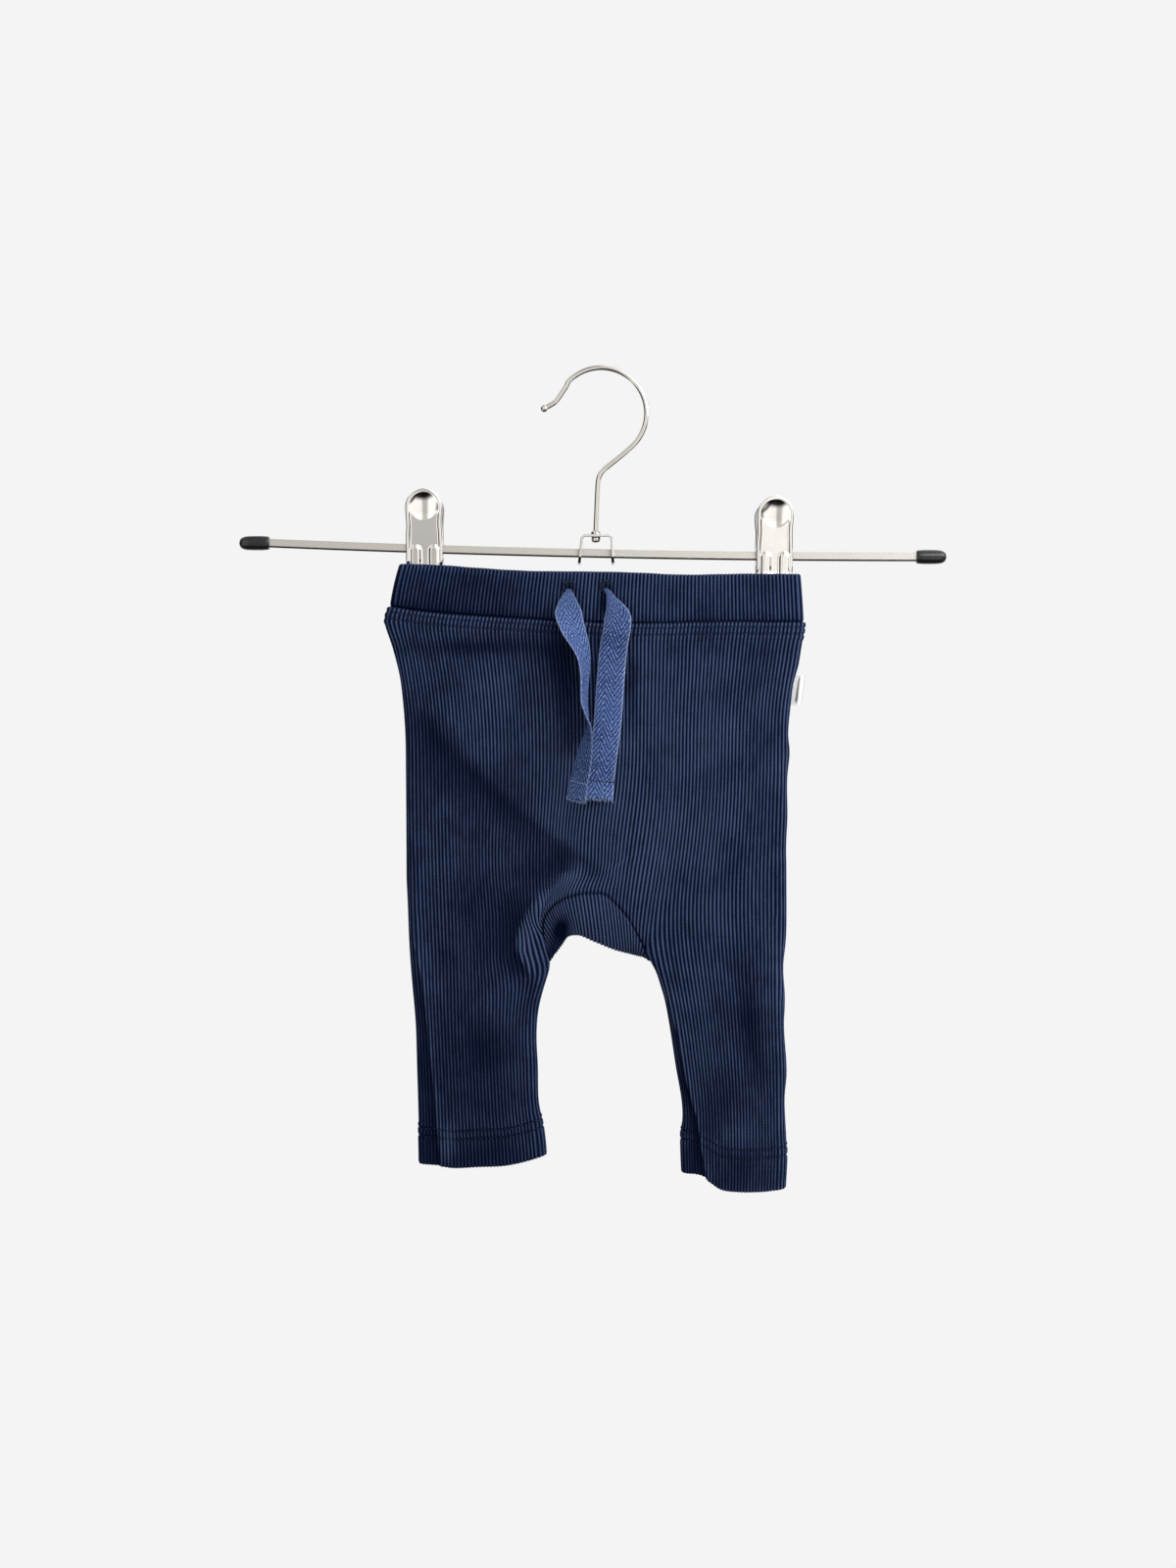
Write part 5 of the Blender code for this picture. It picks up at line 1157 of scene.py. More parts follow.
def wander(points, normal):
    """Lets the ribs run a little unevenly, as knit does, but not at the folded sides."""
    x, z = points[..., 0], points[..., 2]
    aside = 0.20 * np.sin(z / 41 + x / 37) + 0.07 * np.sin(z / 13 - x / 29 + 1.3)
    points[..., 0] += aside * normal[..., 1] ** 2
    return points


def edge_fall(distance):
    """How far an edge that is turned into a seam falls away."""
    return -SEAM_FALL * np.exp(-distance / SEAM_FADE)


def leg_panel(name, side, relief, finish, shade):
    """The front or back of the leggings, both legs in one piece."""
    first, last, count = PANEL_COLUMNS
    points, normal = panel_surface(side, relief)
    body = BODY_END
    points = wander(points, normal)
    down = lengths(points)
    column = np.arange(count + 1)
    over_crotch = (column > first) & (column < last)
    up = np.where(over_crotch, 999, down[-1] - down)
    to_gusset = np.where(over_crotch, down[body] - down, 999)
    beside = np.minimum(column, count - column) * RIB_PITCH / PER_RIB
    lower, upper = (np.where(column <= first, a, b) for a, b in
                    zip(HEM_STITCHES["left"], HEM_STITCHES["right"]))
    furrow = near(down, TOPSTITCH, 0.55) + near(up, (lower, upper), 0.55)
    band = np.maximum(1 - smooth((down - BAND_DEPTH) / 1.8), 1 - smooth((up - upper - 1.0) / 1.6))
    ribs = rib_profile(count) * (1 - 0.55 * np.clip(furrow, 0, 1))
    out = WALL / 2 + ribs + BAND_LIFT * band - FURROW * furrow
    out = out + edge_fall(down) + edge_fall(beside) + edge_fall(np.abs(to_gusset))
    out = np.maximum(out, -WALL / 2 + 0.4)
    outer = points + normal * out[..., None]
    outer = np.vstack([outer, rolled(points, normal, out[-1], np.full(count + 1, -WALL / 2))])
    rows = len(points)
    # Painted shade in the stitch furrows, along the waist seam under the band's edge and along the
    # gusset's seam, with a lighter row just below the waist seam.
    painted_shade = 0.45 * furrow + 0.7 * near(down, (0,), 0.5) + 0.9 * near(to_gusset, (0,), 0.9)
    painted_shade = painted_shade - 0.9 * near(down, (1.3,), 0.6)
    places = np.stack(np.broadcast_arrays(column / PER_RIB, down, -painted_shade), axis=-1)
    ends = np.repeat(places[-1:], len(ROLL), axis=0)
    ends[..., 1] += np.linspace(0.3, 1.2, len(ROLL))[:, None]
    inner = points - normal * WALL / 2
    inner[0] -= SEAM_LAP * unit(points[1] - points[0])
    wall = Wall(outer, inner, np.vstack([places, ends]), places)
    body_rows = list(range(body + 1))
    leg_rows = list(range(body, rows + len(ROLL)))
    plain_body = [0] + list(range(21, body - 1, INNER_STEP)) + [body]
    plain_leg = list(range(body, rows - 32, INNER_STEP)) + [rows - 30, rows - 9, rows - 1]
    every = list(range(count + 1))
    wall.patch("outer", body_rows, every)
    wall.patch("inner", plain_body, every)
    for leg in (every[: first + 1], every[last:]):
        wall.patch("outer", leg_rows, leg)
        wall.patch("inner", plain_leg, leg)
        wall.strip(along_row(leg_rows[-1], leg), along_row(rows - 1, leg))
    wall.strip(along_row(0, every), along_row(0, every))
    crotch = every[first : last + 1]
    wall.strip(along_row(body, crotch), along_row(body, crotch))
    sides = (body_rows + leg_rows[1:], plain_body + plain_leg[1:])
    for column, (fine, plain) in ((0, sides), (first, (leg_rows, plain_leg)),
                                  (last, (leg_rows, plain_leg)), (count, sides)):
        wall.side(fine, plain, column)
    return wall.build(name, finish, shade), Face(points, normal, down)


def along_row(row, columns):
    return [(row, column) for column in columns]


def gusset(finish, shade):
    """The curved piece let in at the crotch, with its ribs running front to back."""
    tip = GUSSET_TIP_SHARES
    seam = np.linspace(0, 1, CROTCH_RIBS * PER_RIB + 1)
    shares = np.concatenate([-tip[::-1], seam, 1 + tip])
    points, normal, thin = gusset_surface(shares)
    away = np.hypot(points[..., 0] - GUSSET_POCKET["x"], points[..., 2] - GUSSET_POCKET["z"])
    dent = GUSSET_POCKET["height"] * np.exp(-((away / GUSSET_POCKET["width"]) ** 2))
    dent = dent * smooth((-normal[..., 1] - 0.05) / 0.3)
    down = lengths(points)
    dent = dent * smooth(np.minimum(down, down[-1] - down) / 2.5)
    points = points + normal * dent[..., None]
    count = len(shares) - 1
    ribs = RIB * ((1 - np.cos(2 * math.pi * (shares * CROTCH_RIBS))) / 2) ** 0.85
    out = WALL / 2 + ribs + edge_fall(down) + edge_fall(down[-1] - down)
    out = np.maximum(out, -WALL / 2 + 0.5) * thin
    # Painted shade along both seams and in the pocket's dent.
    painted_shade = 0.9 * near(down, (0,), 0.8) + 0.9 * near(down[-1] - down, (0,), 0.8) - 0.35 * dent
    places = np.stack(np.broadcast_arrays(shares * CROTCH_RIBS, down, -painted_shade), axis=-1)
    inner = points - normal * (thin * WALL / 2)[:, None]
    inner[0] -= SEAM_LAP * unit(points[1] - points[0])
    inner[-1] += SEAM_LAP * unit(points[-1] - points[-2])
    wall = Wall(points + normal * out[..., None], inner, places, places)
    rows, every = list(range(len(points))), list(range(count + 1))
    plain = sorted(set(rows[::4] + rows[-1:]))
    wall.patch("outer", rows, every)
    wall.patch("inner", plain, every)
    for row in (0, rows[-1]):
        wall.strip(along_row(row, every), along_row(row, every))
    for column in (0, count):
        wall.side(rows, plain, column)
    return wall.build("gusset_cloth", finish, shade), points


def waistband(finish, shade):
    """One ribbed ring, rolled over at the top, dipped at the front round its two eyelets' places."""
    made = [waistband_row(share) for share in WAIST_SHARES]
    points, normal = (np.array(part) for part in zip(*made))
    points = wander(points, normal)
    count = points.shape[1]
    up = lengths(points)
    ribs = rib_profile(count - 1)[None, :] * (1 - 0.25 * near(up, (0.4,), 0.8))
    out = BAND_WALL / 2 + ribs + edge_fall(up) + waist_relief(points, normal)
    back = np.full(count, -BAND_WALL / 2)
    outer = np.vstack([points + normal * out[..., None], rolled(points, normal, out[-1], back)])
    ring = np.arange(count) / PER_RIB
    # Painted shade towards the band's lower edge and in a line along the waist seam; lighter along
    # the rolled top.
    worn = 0.5 * near(up[-1] - up, (0,), 2.0) - 0.35 * near(up, (0,), 3.5) - 0.6 * near(up, (0,), 0.7)
    places = np.stack(np.broadcast_arrays(ring, up, worn), axis=-1)
    ends = np.repeat(places[-1:], len(ROLL), axis=0)
    ends[..., 1] += np.linspace(0.4, 2.2, len(ROLL))[:, None]
    inner = points - normal * BAND_WALL / 2
    wall = Wall(outer, inner, np.vstack([places, ends]), places)
    every = list(range(count)) + [0]
    rows = len(points)
    plain = sorted(set(list(range(0, rows, 8)) + [rows - 1]))
    wall.patch("outer", list(range(rows + len(ROLL))), every)
    wall.patch("inner", plain, every)
    wall.strip(along_row(0, every), along_row(0, every))
    wall.strip(along_row(rows + len(ROLL) - 1, every), along_row(rows - 1, every))
    return wall.build("waistband_cloth", finish, shade)


# ------------------------------------------------------------------ sewing
def stitch(pile, face, start, end, distance, slant):
    """One stitch from column to column, its ends pulled down into the cloth."""
    path = []
    for share, rise in ((0, -0.45), (0.18, 0.0), (0.5, 0.12), (0.82, 0.0), (1, -0.45)):
        column = start + (end - start) * share
        path.append(face.at(column, distance + slant * (share - 0.5), STITCH_HEIGHT + rise))
    pile.tube(path, THREAD_R, 6)


def stitch_line(pile, face, start, stop, slant, distances):
    """Stitches over a run of columns, at a distance down each of them."""
    pitch = STITCH_RIBS * PER_RIB
    for k in range(int((stop - start) / pitch)):
        a = start + k * pitch
        stitch(pile, face, a, a + 0.74 * pitch, distances[int(a)], slant)


def sew_panel(name, face, finish):
    """Two rows of topstitching under the waist seam and two round each turned hem."""
    first, last, count = PANEL_COLUMNS
    pile = Pile()
    edge, half = 0.4 * PER_RIB, PER_RIB / 2
    for row in TOPSTITCH:
        stitch_line(pile, face, edge, count - edge, 0.35, np.full(count + 1, row))
    for leg, (start, stop) in (("left", (0, first)), ("right", (last, count))):
        for up in HEM_STITCHES[leg]:
            stitch_line(pile, face, start + half, stop - half, 0.3, face.down[-1] - up)
    return pile.build(name, finish)


# ------------------------------------------------------------------ drawstring
def tape_stations(side, count):
    """Evenly spaced places down a tape: middle, across, out of its face, width, length."""
    rows = TAPES[side]
    y = [cloth_front(x, min(z, -107)) - off for x, z, off in zip(rows["x"], rows["z"], rows["off"])]
    corners = np.column_stack([rows["x"], y, rows["z"]])
    knots = travel(corners)
    at = np.linspace(0, knots[-1], count)
    columns = {"s": knots, "y": np.array(y), **rows}
    x, y, z, turn, width = (read(columns, k, at, "s") for k in ("x", "y", "z", "turn", "width"))
    middle = np.column_stack([x, y, z])
    along = unit(np.gradient(middle, axis=0))
    turn = np.radians(turn)
    across = np.column_stack([np.cos(turn), np.sin(turn), np.zeros_like(turn)])
    across = unit(across - along * np.sum(across * along, axis=1, keepdims=True))
    return middle, across, np.cross(along, across), width, travel(middle)


def tape_section(cup):
    """Points round a tape's flat section: share of the width, and of the thickness."""
    across = np.linspace(-0.5, 0.5, TAPE_COLUMNS)
    front = [(a, 0.5 * (1 - (2 * abs(a)) ** 14) + cup * a * a) for a in across]
    return front + [(a, b - 1 + (2 * abs(a)) ** 14) for a, b in front[::-1]]


def tape(side, finish):
    """A flat woven tape out of its eyelet and down the front, raw at the free end."""
    middle, across, out, width, s = tape_stations(side, TAPE_ROWS)
    section = tape_section(TAPE_CUP[side])
    rng = np.random.default_rng(SEEDS[side])
    half = len(section) // 2
    ragged = 0.5 * np.sin(np.linspace(0, 9, half)) + rng.uniform(-0.4, 0.4, half)
    ragged = np.concatenate([ragged, ragged[::-1]])
    pile = Pile()
    rings, uv = [], []
    total = s[-1]
    stitched = total - TAPE_STITCH
    for k in range(len(s)):
        pinch = 1 - 0.10 * math.exp(-(((s[k] - stitched) / 0.9) ** 2))
        puff = 1 - 0.45 * math.exp(-(((s[k] - stitched) / 0.7) ** 2))
        flare = 1 + 0.03 * float(smooth((s[k] - stitched) / 5))
        tail = float(smooth((s[k] - total + 3) / 3))
        along = unit(middle[min(k + 1, len(s) - 1)] - middle[max(k - 1, 0)])
        ring = []
        for (a, b), ends in zip(section, ragged):
            w = a * width[k] * pinch * flare
            ring.append(middle[k] + w * across[k] + b * TAPE_THICK * puff * out[k]
                        + along * ends * tail)
            uv.append((a * TAPE_WIDTH, s[k]))
        rings.append(ring)
    pile.loft(rings)
    mesh = mesh_of(f"tape_{side}", pile.points, pile.faces, 70)
    lay_out(mesh, uv)
    tint(mesh, "shade", [tape_shade(side, v) for _, v in uv])
    piece = add_object(f"tape_{side}", mesh, finish)
    return piece, (middle, across, out, width, s)


def tape_shade(side, s):
    """How much a tape is faded along its length: below 0 it has kept more of its dye."""
    return sum(amount * math.exp(-(((s - at) / spread) ** 2)) for at, spread, amount in
               TAPE_FADES[side])


def tape_trim(side, stations, sewn, finish):
    """The row of stitches near a tape's end and the frayed yarns past it."""
    middle, across, out, width, s = stations
    rng = np.random.default_rng(SEEDS[side] + 5)
    seam, fray = Pile(), Pile()
    row = int(np.searchsorted(s, s[-1] - TAPE_STITCH))
    size = width[row] * 0.9
    for face in (-1, 1):
        for k in range(TAPE_STITCHES):
            path = []
            for share, rise in ((0.0, 0.12), (0.25, 0.42), (0.6, 0.42), (1.0, 0.12)):
                a = (k + 0.94 * share) / TAPE_STITCHES - 0.5
                lean = 0.35 * (share - 0.5)
                path.append(middle[row] + a * size * across[row] + face * rise * out[row]
                            + lean * np.array((0, 0, 1.0)))
            seam.tube(path, 0.24, 6)
    along = unit(middle[-1] - middle[-3])
    for k in range(FRAY_YARNS):
        a = (k + rng.uniform(0.2, 0.8)) / FRAY_YARNS - 0.5
        start = middle[-1] + a * 1.02 * width[-1] * across[-1] + rng.uniform(-0.3, 0.3) * out[-1]
        lean = along + rng.uniform(-0.5, 0.5) * across[-1] + rng.uniform(-0.35, 0.35) * out[-1]
        size = rng.uniform(0.6, 1.9)
        bend = rng.uniform(-0.35, 0.35) * across[-1]
        path = [start - 1.2 * along, start, start + 0.5 * size * lean,
                start + size * (lean + bend)]
        fray.tube(path, [0.2, 0.2, 0.16, 0.07], 4)
    return (seam.build(f"tape_{side}_sewing", sewn),
            fray.build(f"tape_{side}_fray", finish))


def eyelet(side, finish):
    """Close stitches round a drawstring hole, laid on the waistband's ribs."""
    pile = Pile()
    centre = np.array((EYELETS[side], 0.0, EYELET_Z))
    for k in range(EYELET_STITCHES):
        a = 2 * math.pi * k / EYELET_STITCHES
        path = []
        for radius, depth in ((EYELET_R - 0.3, 0.7), (EYELET_R, 0.0), (EYELET_R + 0.5, -0.12),
                              (EYELET_R + 0.9, 0.2)):
            y = EYELET_FRONT + depth
            path.append((centre[0] + radius * math.cos(a), y, centre[2] + radius * math.sin(a)))
        pile.tube(path, 0.2, 5)
    return pile.build(f"eyelet_{side}", finish)


def side_label(finish):
    """A small bare white loop let into the right side seam."""
    pile = Pile()
    rows, uv, painted_slit_shadow = [], [], []
    for t in np.linspace(0, 1, 14):
        z = LABEL_TOP + (LABEL_BOTTOM - LABEL_TOP) * t
        root = float(read(BODY_SIDES, "right", z)) - 1.4
        reach = LABEL_REACH["top"] + (LABEL_REACH["bottom"] - LABEL_REACH["top"]) * t
        half = 0.55 + 0.35 * math.sin(math.pi * t) + 0.5 * t
        line = []
        for a in np.linspace(0, 1, 41):
            x = reach - (reach - root) * abs(2 * a - 1) ** 1.7
            bulge = math.sin(min(math.pi, 2.2 * math.pi * min(a, 1 - a) + 0.25))
            aside = math.copysign(half, a - 0.5) * bulge * min(1, 6 * abs(a - 0.5))
            line.append((x, MID_Y + aside, z))
        line = np.array(line)
        normal = unit(np.cross(np.gradient(line, axis=0), (0, 0, 1.0)))
        rows.append(np.vstack([line + 0.17 * normal, (line - 0.17 * normal)[::-1]]))
        uv += [(float(k), float(z)) for k in travel(line)]
        uv += [(float(k), float(z)) for k in travel(line)[::-1]]
        # A painted shadow: a dark line down the loop's front where its opening would be.
        slit_shade = near(np.linspace(0, 1, 41), (0.2,), 0.02 + 0.03 * t) * min(1, 9 * t * (1 - t))
        painted_slit_shadow += [*slit_shade, *slit_shade[::-1]]
    pile.loft(rows)
    mesh = mesh_of("label_loop", pile.points, pile.faces, 50)
    lay_out(mesh, uv)
    tint(mesh, "shade", painted_slit_shadow)
    return add_object("label_loop", mesh, finish)


# ------------------------------------------------------------------ the hanger
def bar_z(x):
    """Height of the bar's middle: it leans to the right and sags a little."""
    return BAR_MIDDLE_Z + BAR_SLOPE * x + BAR_SAG * x * x


def bar(steel, dark):
    """The flat bar, its underside in a near-black finish that paints shade."""
    half_y, half_z, trim = BAR_DEPTH / 2, BAR_HEIGHT / 2, 0.2
    section = [(-half_y, -half_z + 0.6), (-half_y + 0.5, -half_z), (half_y - trim, -half_z),
               (half_y, -half_z + trim), (half_y, half_z - trim), (half_y - trim, half_z),
               (-half_y + trim, half_z), (-half_y, half_z - trim)]
    pile = Pile()
    pile.loft([[(x, y, bar_z(x) + z) for y, z in section] for x in np.linspace(*BAR_ENDS, 60)])
    mesh = mesh_of("bar", pile.points, pile.faces, 30)
    obj = add_object("bar", mesh, steel, dark)
    for face in mesh.polygons:
        if face.normal.z < -0.3:
            face.material_index = 1
    return obj


def end_cap(side, finish):
    """A rounded rubber cap pushed over the end of the bar, with a soft lip at its mouth."""
    outwards = -1 if side == "left" else 1
    mouth = CAP_MOUTHS[side]
    z = float(bar_z(mouth))
    turns = np.linspace(0, 2 * math.pi, 40, endpoint=False)
    rings = []
    for share, size in CAP_PROFILE:
        x = mouth + outwards * CAP_LENGTH * share
        rings.append([(x, 0.5 * CAP_DEPTH * size * math.cos(a), z + 0.5 * CAP_HEIGHT * size
                       * math.sin(a)) for a in turns])
    pile = Pile()
    pile.loft(rings)
    return pile.build(f"rubber_cap_{side}", finish, 80)


def hook(finish):
    """Bent wire with a ball tip, a collar above the bracket and a rivet head under it."""
    arc = [(HOOK_CENTRE[0] + HOOK_R * math.cos(a), HOOK_CENTRE[1] + HOOK_R * math.sin(a))
           for a in np.radians(np.linspace(136, -50, 48))]
    line = flowing([(x, 0.0, z) for x, z in HOOK_START + arc + HOOK_TAIL], 220)
    pile = Pile()
    pile.tube(line, WIRE_R, 20)
    turned(pile, (-27.2, 0, -18.7), (-0.86, 0, -0.51), BALL)
    turned(pile, (STEM_X, 0, -79.0), (0, 0, -1), COLLAR)
    return pile.build("wire_hook", finish, 50)


def turned(pile, start, axis, profile, sides=24):
    """A turned shape: distances along an axis, and a radius at each."""
    axis = unit(np.array(axis, float))
    side = unit(np.cross(axis, (0.0, 1.0, 0.1)))
    other = np.cross(axis, side)
    turns = np.linspace(0, 2 * math.pi, sides, endpoint=False)
    pile.loft([[np.array(start) + at * axis + radius * (math.cos(a) * side + math.sin(a) * other)
                for a in turns] for at, radius in profile])


def strip_outline(corners, radius, thick):
    """A bent strip's outline in x and z: its middle line with round corners, then a wall."""
    line = []
    for k, point in enumerate(corners):
        p = np.array(point, float)
        if k in (0, len(corners) - 1):
            line.append(p)
            continue
        before, after = unit(np.array(corners[k - 1]) - p), unit(np.array(corners[k + 1]) - p)
        a, b = p + before * radius, p + after * radius
        for t in np.linspace(0, 1, 7):
            line.append((1 - t) ** 2 * a + 2 * t * (1 - t) * p + t * t * b)
    line = np.array(line)
    along = unit(np.gradient(line, axis=0))
    normal = np.column_stack([-along[:, 1], along[:, 0]])
    return line + normal * thick / 2, line - normal * thick / 2


def bracket(finish):
    """The folded strip that joins hook and bar, slotted for the bar."""
    left, right = BRACKET_LEFT, BRACKET_RIGHT
    outer, inner = strip_outline(
        [(left - 1.3, BRACKET_TIP), (left + 0.2, BRACKET_TOP - SHEET / 2),
         (right - 0.4, BRACKET_TOP - SHEET / 2), (right + 0.2, BRACKET_TIP)], 2.0, SHEET)
    half, trim = BRACKET_DEPTH / 2, 0.2
    rings = []
    for y, draw in ((-half, trim), (-half + trim, 0), (half - trim, 0), (half, trim)):
        walls = np.vstack([outer - (outer - inner) / SHEET * draw,
                           (inner + (outer - inner) / SHEET * draw)[::-1]])
        rings.append([(x, y, z) for x, z in walls])
    pile = Pile()
    pile.loft(rings)
    obj = pile.build("hook_bracket_strip", finish, 35)
    low, high = bar_z(STEM_X) - BAR_HEIGHT / 2 - 0.5, bar_z(STEM_X) + BAR_HEIGHT / 2 + 0.5
    slot = Pile()
    slot.loft([[(x, y, z) for y, z in ((-1.55, low), (1.55, low), (1.55, high), (-1.55, high))]
               for x in (left - 8, right + 8)])
    carve(obj, "slot_cutter", slot)
    return obj


def carve(obj, name, pile):
    """Takes a shape out of a piece for good."""
    cutter = placed(name, mesh_of(name, pile.points, pile.faces, 30))
    step = obj.modifiers.new("carve", "BOOLEAN")
    step.object, step.solver, step.operation = cutter, "EXACT", "DIFFERENCE"
    graph = bpy.context.evaluated_depsgraph_get()
    made = bpy.data.meshes.new_from_object(obj.evaluated_get(graph),
                                           preserve_all_data_layers=True, depsgraph=graph)
    obj.modifiers.clear()
    obj.data = made
    bpy.data.objects.remove(cutter)


def clip_front(x, rise):
    """How far the outer face of a clip's half stands in front of the bar's middle."""
    out = read(CLIP_HALF, "front", rise, "rise")
    half = clip_half_width(rise)
    dish = DISH_DEPTH * (1 - (x**2 + (rise - DISH_RISE) ** 2) / DISH_R**2)
    inside = smooth((half - CLIP_RIM - np.abs(x)) / 0.8)
    channel = CLIP_CHANNEL * inside * smooth((DISH_RISE - rise) / 4) * smooth((rise + 9) / 3)
    out = out - np.maximum(dish, channel)
    for centre in CLIP_RIBS:
        along = np.maximum(rise - CLIP_RIB_TOP, 0)
        e = np.hypot(x - centre, along) / CLIP_RIB_HALF
        out = out + CLIP_RIB_HEIGHT * smooth((1.0 - e) / 0.42)
    return out


def clip_half_width(rise):
    """Half the width of a clip: a round head, a slight waist and parallel jaws."""
    head = np.sqrt(np.maximum(CLIP_HALF_WIDTH**2 - np.maximum(rise - DISH_RISE, 0) ** 2, 0.3))
    waist = 0.35 * np.exp(-(((rise - 11.5) / 4.5) ** 2))
    return np.minimum(head, CLIP_HALF_WIDTH - waist * (rise < DISH_RISE))


def clip_half(side, face, finish):
    """One pressed half of a clip, its edges rolled back."""
    centre_x, facing = CLIP_X[side], -1 if face == "front" else 1
    level = float(bar_z(centre_x))
    jaw = BACK_JAW if face == "back" else 0.0
    rises = np.concatenate([DISH_RISE + CLIP_HALF_WIDTH * np.sin(np.linspace(math.pi / 2, 0, 26)),
                            np.linspace(DISH_RISE, CLIP_TIP, 92)[1:]])
    across = np.sin(np.linspace(-math.pi / 2, math.pi / 2, 47))
    grid = []
    for rise in rises:
        half = float(clip_half_width(rise))
        x = across * half
        push = jaw * float(smooth((-rise - 4.0) / 4.6))
        out = clip_front(x, rise) + push
        near_edge = np.clip((np.abs(x) - half) / CLIP_ROLL + 1, 0, 1)
        out = out - CLIP_ROLL * (1 - np.sqrt(1 - near_edge**2))
        base = float(read(CLIP_HALF, "front", rise, "rise")) + push
        flange = base - float(read(CLIP_HALF, "sides", rise, "rise"))
        if abs(rise) < BAR_HEIGHT / 2 + 0.6:
            flange = max(flange, BAR_DEPTH / 2 + 0.35)
        flange = min(flange, out[0] - 0.2)
        steps = [out[0] + (flange - out[0]) * t for t in (1, 0.5)]
        line = ([(-half, y) for y in steps] + list(zip(x, out))
                + [(half, y) for y in steps[::-1]])
        grid.append([(centre_x + a, facing * y, level + rise) for a, y in line])
    points = [p for row in grid for p in row]
    size = len(grid[0])
    faces = [[size * k + a, size * k + a + 1, size * (k + 1) + a + 1, size * (k + 1) + a]
             for k in range(len(grid) - 1) for a in range(size - 1)]
    if facing < 0:
        faces = [f[::-1] for f in faces]
    mesh = bpy.data.meshes.new(f"clip_{side}_{face}_shell")
    mesh.from_pydata((MM * np.array(points)).tolist(), [], faces)
    mesh.shade_smooth()
    obj = add_object(f"clip_{side}_{face}_shell", mesh, finish)
    wall = obj.modifiers.new("wall", "SOLIDIFY")
    wall.thickness, wall.offset = CLIP_SHEET * 0.8 * MM, -1
    return obj


def clip_spring(side, finish):
    """The coil spring between the two halves, with an arm along each."""
    centre = np.array((CLIP_X[side], 0, float(bar_z(CLIP_X[side])) + SPRING_RISE))
    turns = np.linspace(0, 2 * math.pi * SPRING_TURNS, SPRING_TURNS * 20)
    radius = SPRING_R - SPRING_WIRE
    coil = [centre + ((t / turns[-1] - 0.5) * (SPRING_LENGTH - 2 * SPRING_WIRE),
                      radius * math.cos(t), -radius * math.sin(t)) for t in turns]
    pile = Pile()
    pile.tube(coil, SPRING_WIRE, 8)
    for end in (coil[0], coil[-1]):
        pile.tube([end, end + (0, 0.6, 3.0), end + (0, 1.7, 8.5)], SPRING_WIRE, 8)
    return pile.build(f"spring_{side}", finish, 60)


# ------------------------------------------------------------------ the studio
def camera():
    data = bpy.data.cameras.new("camera")
    data.lens, data.sensor_width = LENS, 36.0
    data.clip_start, data.clip_end = 0.01, 20.0
    obj = placed("camera", data)
    obj.location = [MM * v for v in CAMERA]
    obj.rotation_euler = (math.pi / 2, 0, 0)
    bpy.context.scene.camera = obj


def area_light(name, place, target, size, power, colour=(1, 1, 1), mirrored=True):
    data = bpy.data.lights.new(name, "AREA")
    data.size, data.energy, data.color = size * MM, power, colour
    obj = placed(name, data)
    obj.location = [MM * v for v in place]
    towards = np.array(target, float) - np.array(place, float)
    obj.rotation_euler = Vector(towards).to_track_quat("-Z", "Y").to_euler()
    obj.visible_glossy = mirrored


def lit_room(world, axes, look):
    """Light from each direction: a room in front of the object and a wall behind it."""
    x, y, z = axes
    slant = world.math("MULTIPLY_ADD", x, 0.707, world.math("MULTIPLY", z, -0.707))
    room = world.ramp_of(z, look["height"])
    for level in (world.ramp_of(x, look["sides"]), world.ramp_of(slant, look["corner"]),
                  look["tint"]):
        room = world.mix(1.0, room, level, "MULTIPLY")
    wall = world.ramp_of(x, look["wall"])
    made = world.node("Background")
    world.feed(made.inputs[0], world.mix(world.ramp_of(y, BEFORE), room, wall))
    made.inputs[1].default_value = look["gain"]
    return made.outputs[0]


def surroundings():
    """A white wall behind, and a room in front of it that only lights and reflects."""
    bpy.context.scene.world = bpy.data.worlds.new("room")
    bpy.context.scene.world.use_nodes = True
    world = Graph(bpy.context.scene.world.node_tree)
    world.tree.nodes.clear()
    split = world.node("SeparateXYZ")
    world.feed(split.inputs[0], world.node("TexCoord").outputs["Generated"])
    ray = world.node("LightPath")
    seen = world.node("Background")
    world.feed(seen.inputs[0], WALL_SEEN)
    shown = lit_room(world, split.outputs, ROOM)
    for kind, other in (("Is Glossy Ray", lit_room(world, split.outputs, MIRRORED)),
                        ("Is Camera Ray", seen.outputs[0])):
        mixed = world.node("MixShader")
        for socket, value in zip(mixed.inputs, (ray.outputs[kind], shown, other)):
            world.feed(socket, value)
        shown = mixed.outputs[0]
    world.feed(world.node("OutputWorld").inputs[0], shown)


def floor():
    """A plain pale floor, well below where the hanger hangs."""
    half = 1600.0
    mesh = bpy.data.meshes.new("floor")
    mesh.from_pydata([(MM * x, MM * y, MM * FLOOR_Z) for x, y in
                      ((-half, -half), (half, -half), (half, 300), (-half, 300))], [], [(0, 1, 2, 3)])
    obj = placed("floor", mesh)
    plain = Finish("floor_paint", (0.80, 0.80, 0.79), 0.7)
    plain.colour(plain.mix(plain.noise(plain.spot(), 3.0),
                           (0.78, 0.78, 0.77), (0.82, 0.82, 0.81)))
    mesh.materials.append(plain.material)
    obj.visible_glossy = False


def studio():
    surroundings()
    floor()
    area_light("window", (380, -800, 380), (0, 0, -220), 420, 2.4, (1.0, 0.99, 0.97))
    area_light("side", (720, -420, 330), (0, 0, -220), 500, 3.6)
    area_light("fill", (-600, -650, 60), (0, 0, -250), 600, 0.5, mirrored=False)
    area_light("behind", (-300, 900, 300), (0, 0, -220), 900, 5.0, mirrored=False)
    view = bpy.context.scene.view_settings
    view.view_transform, view.look = "Standard", "None"


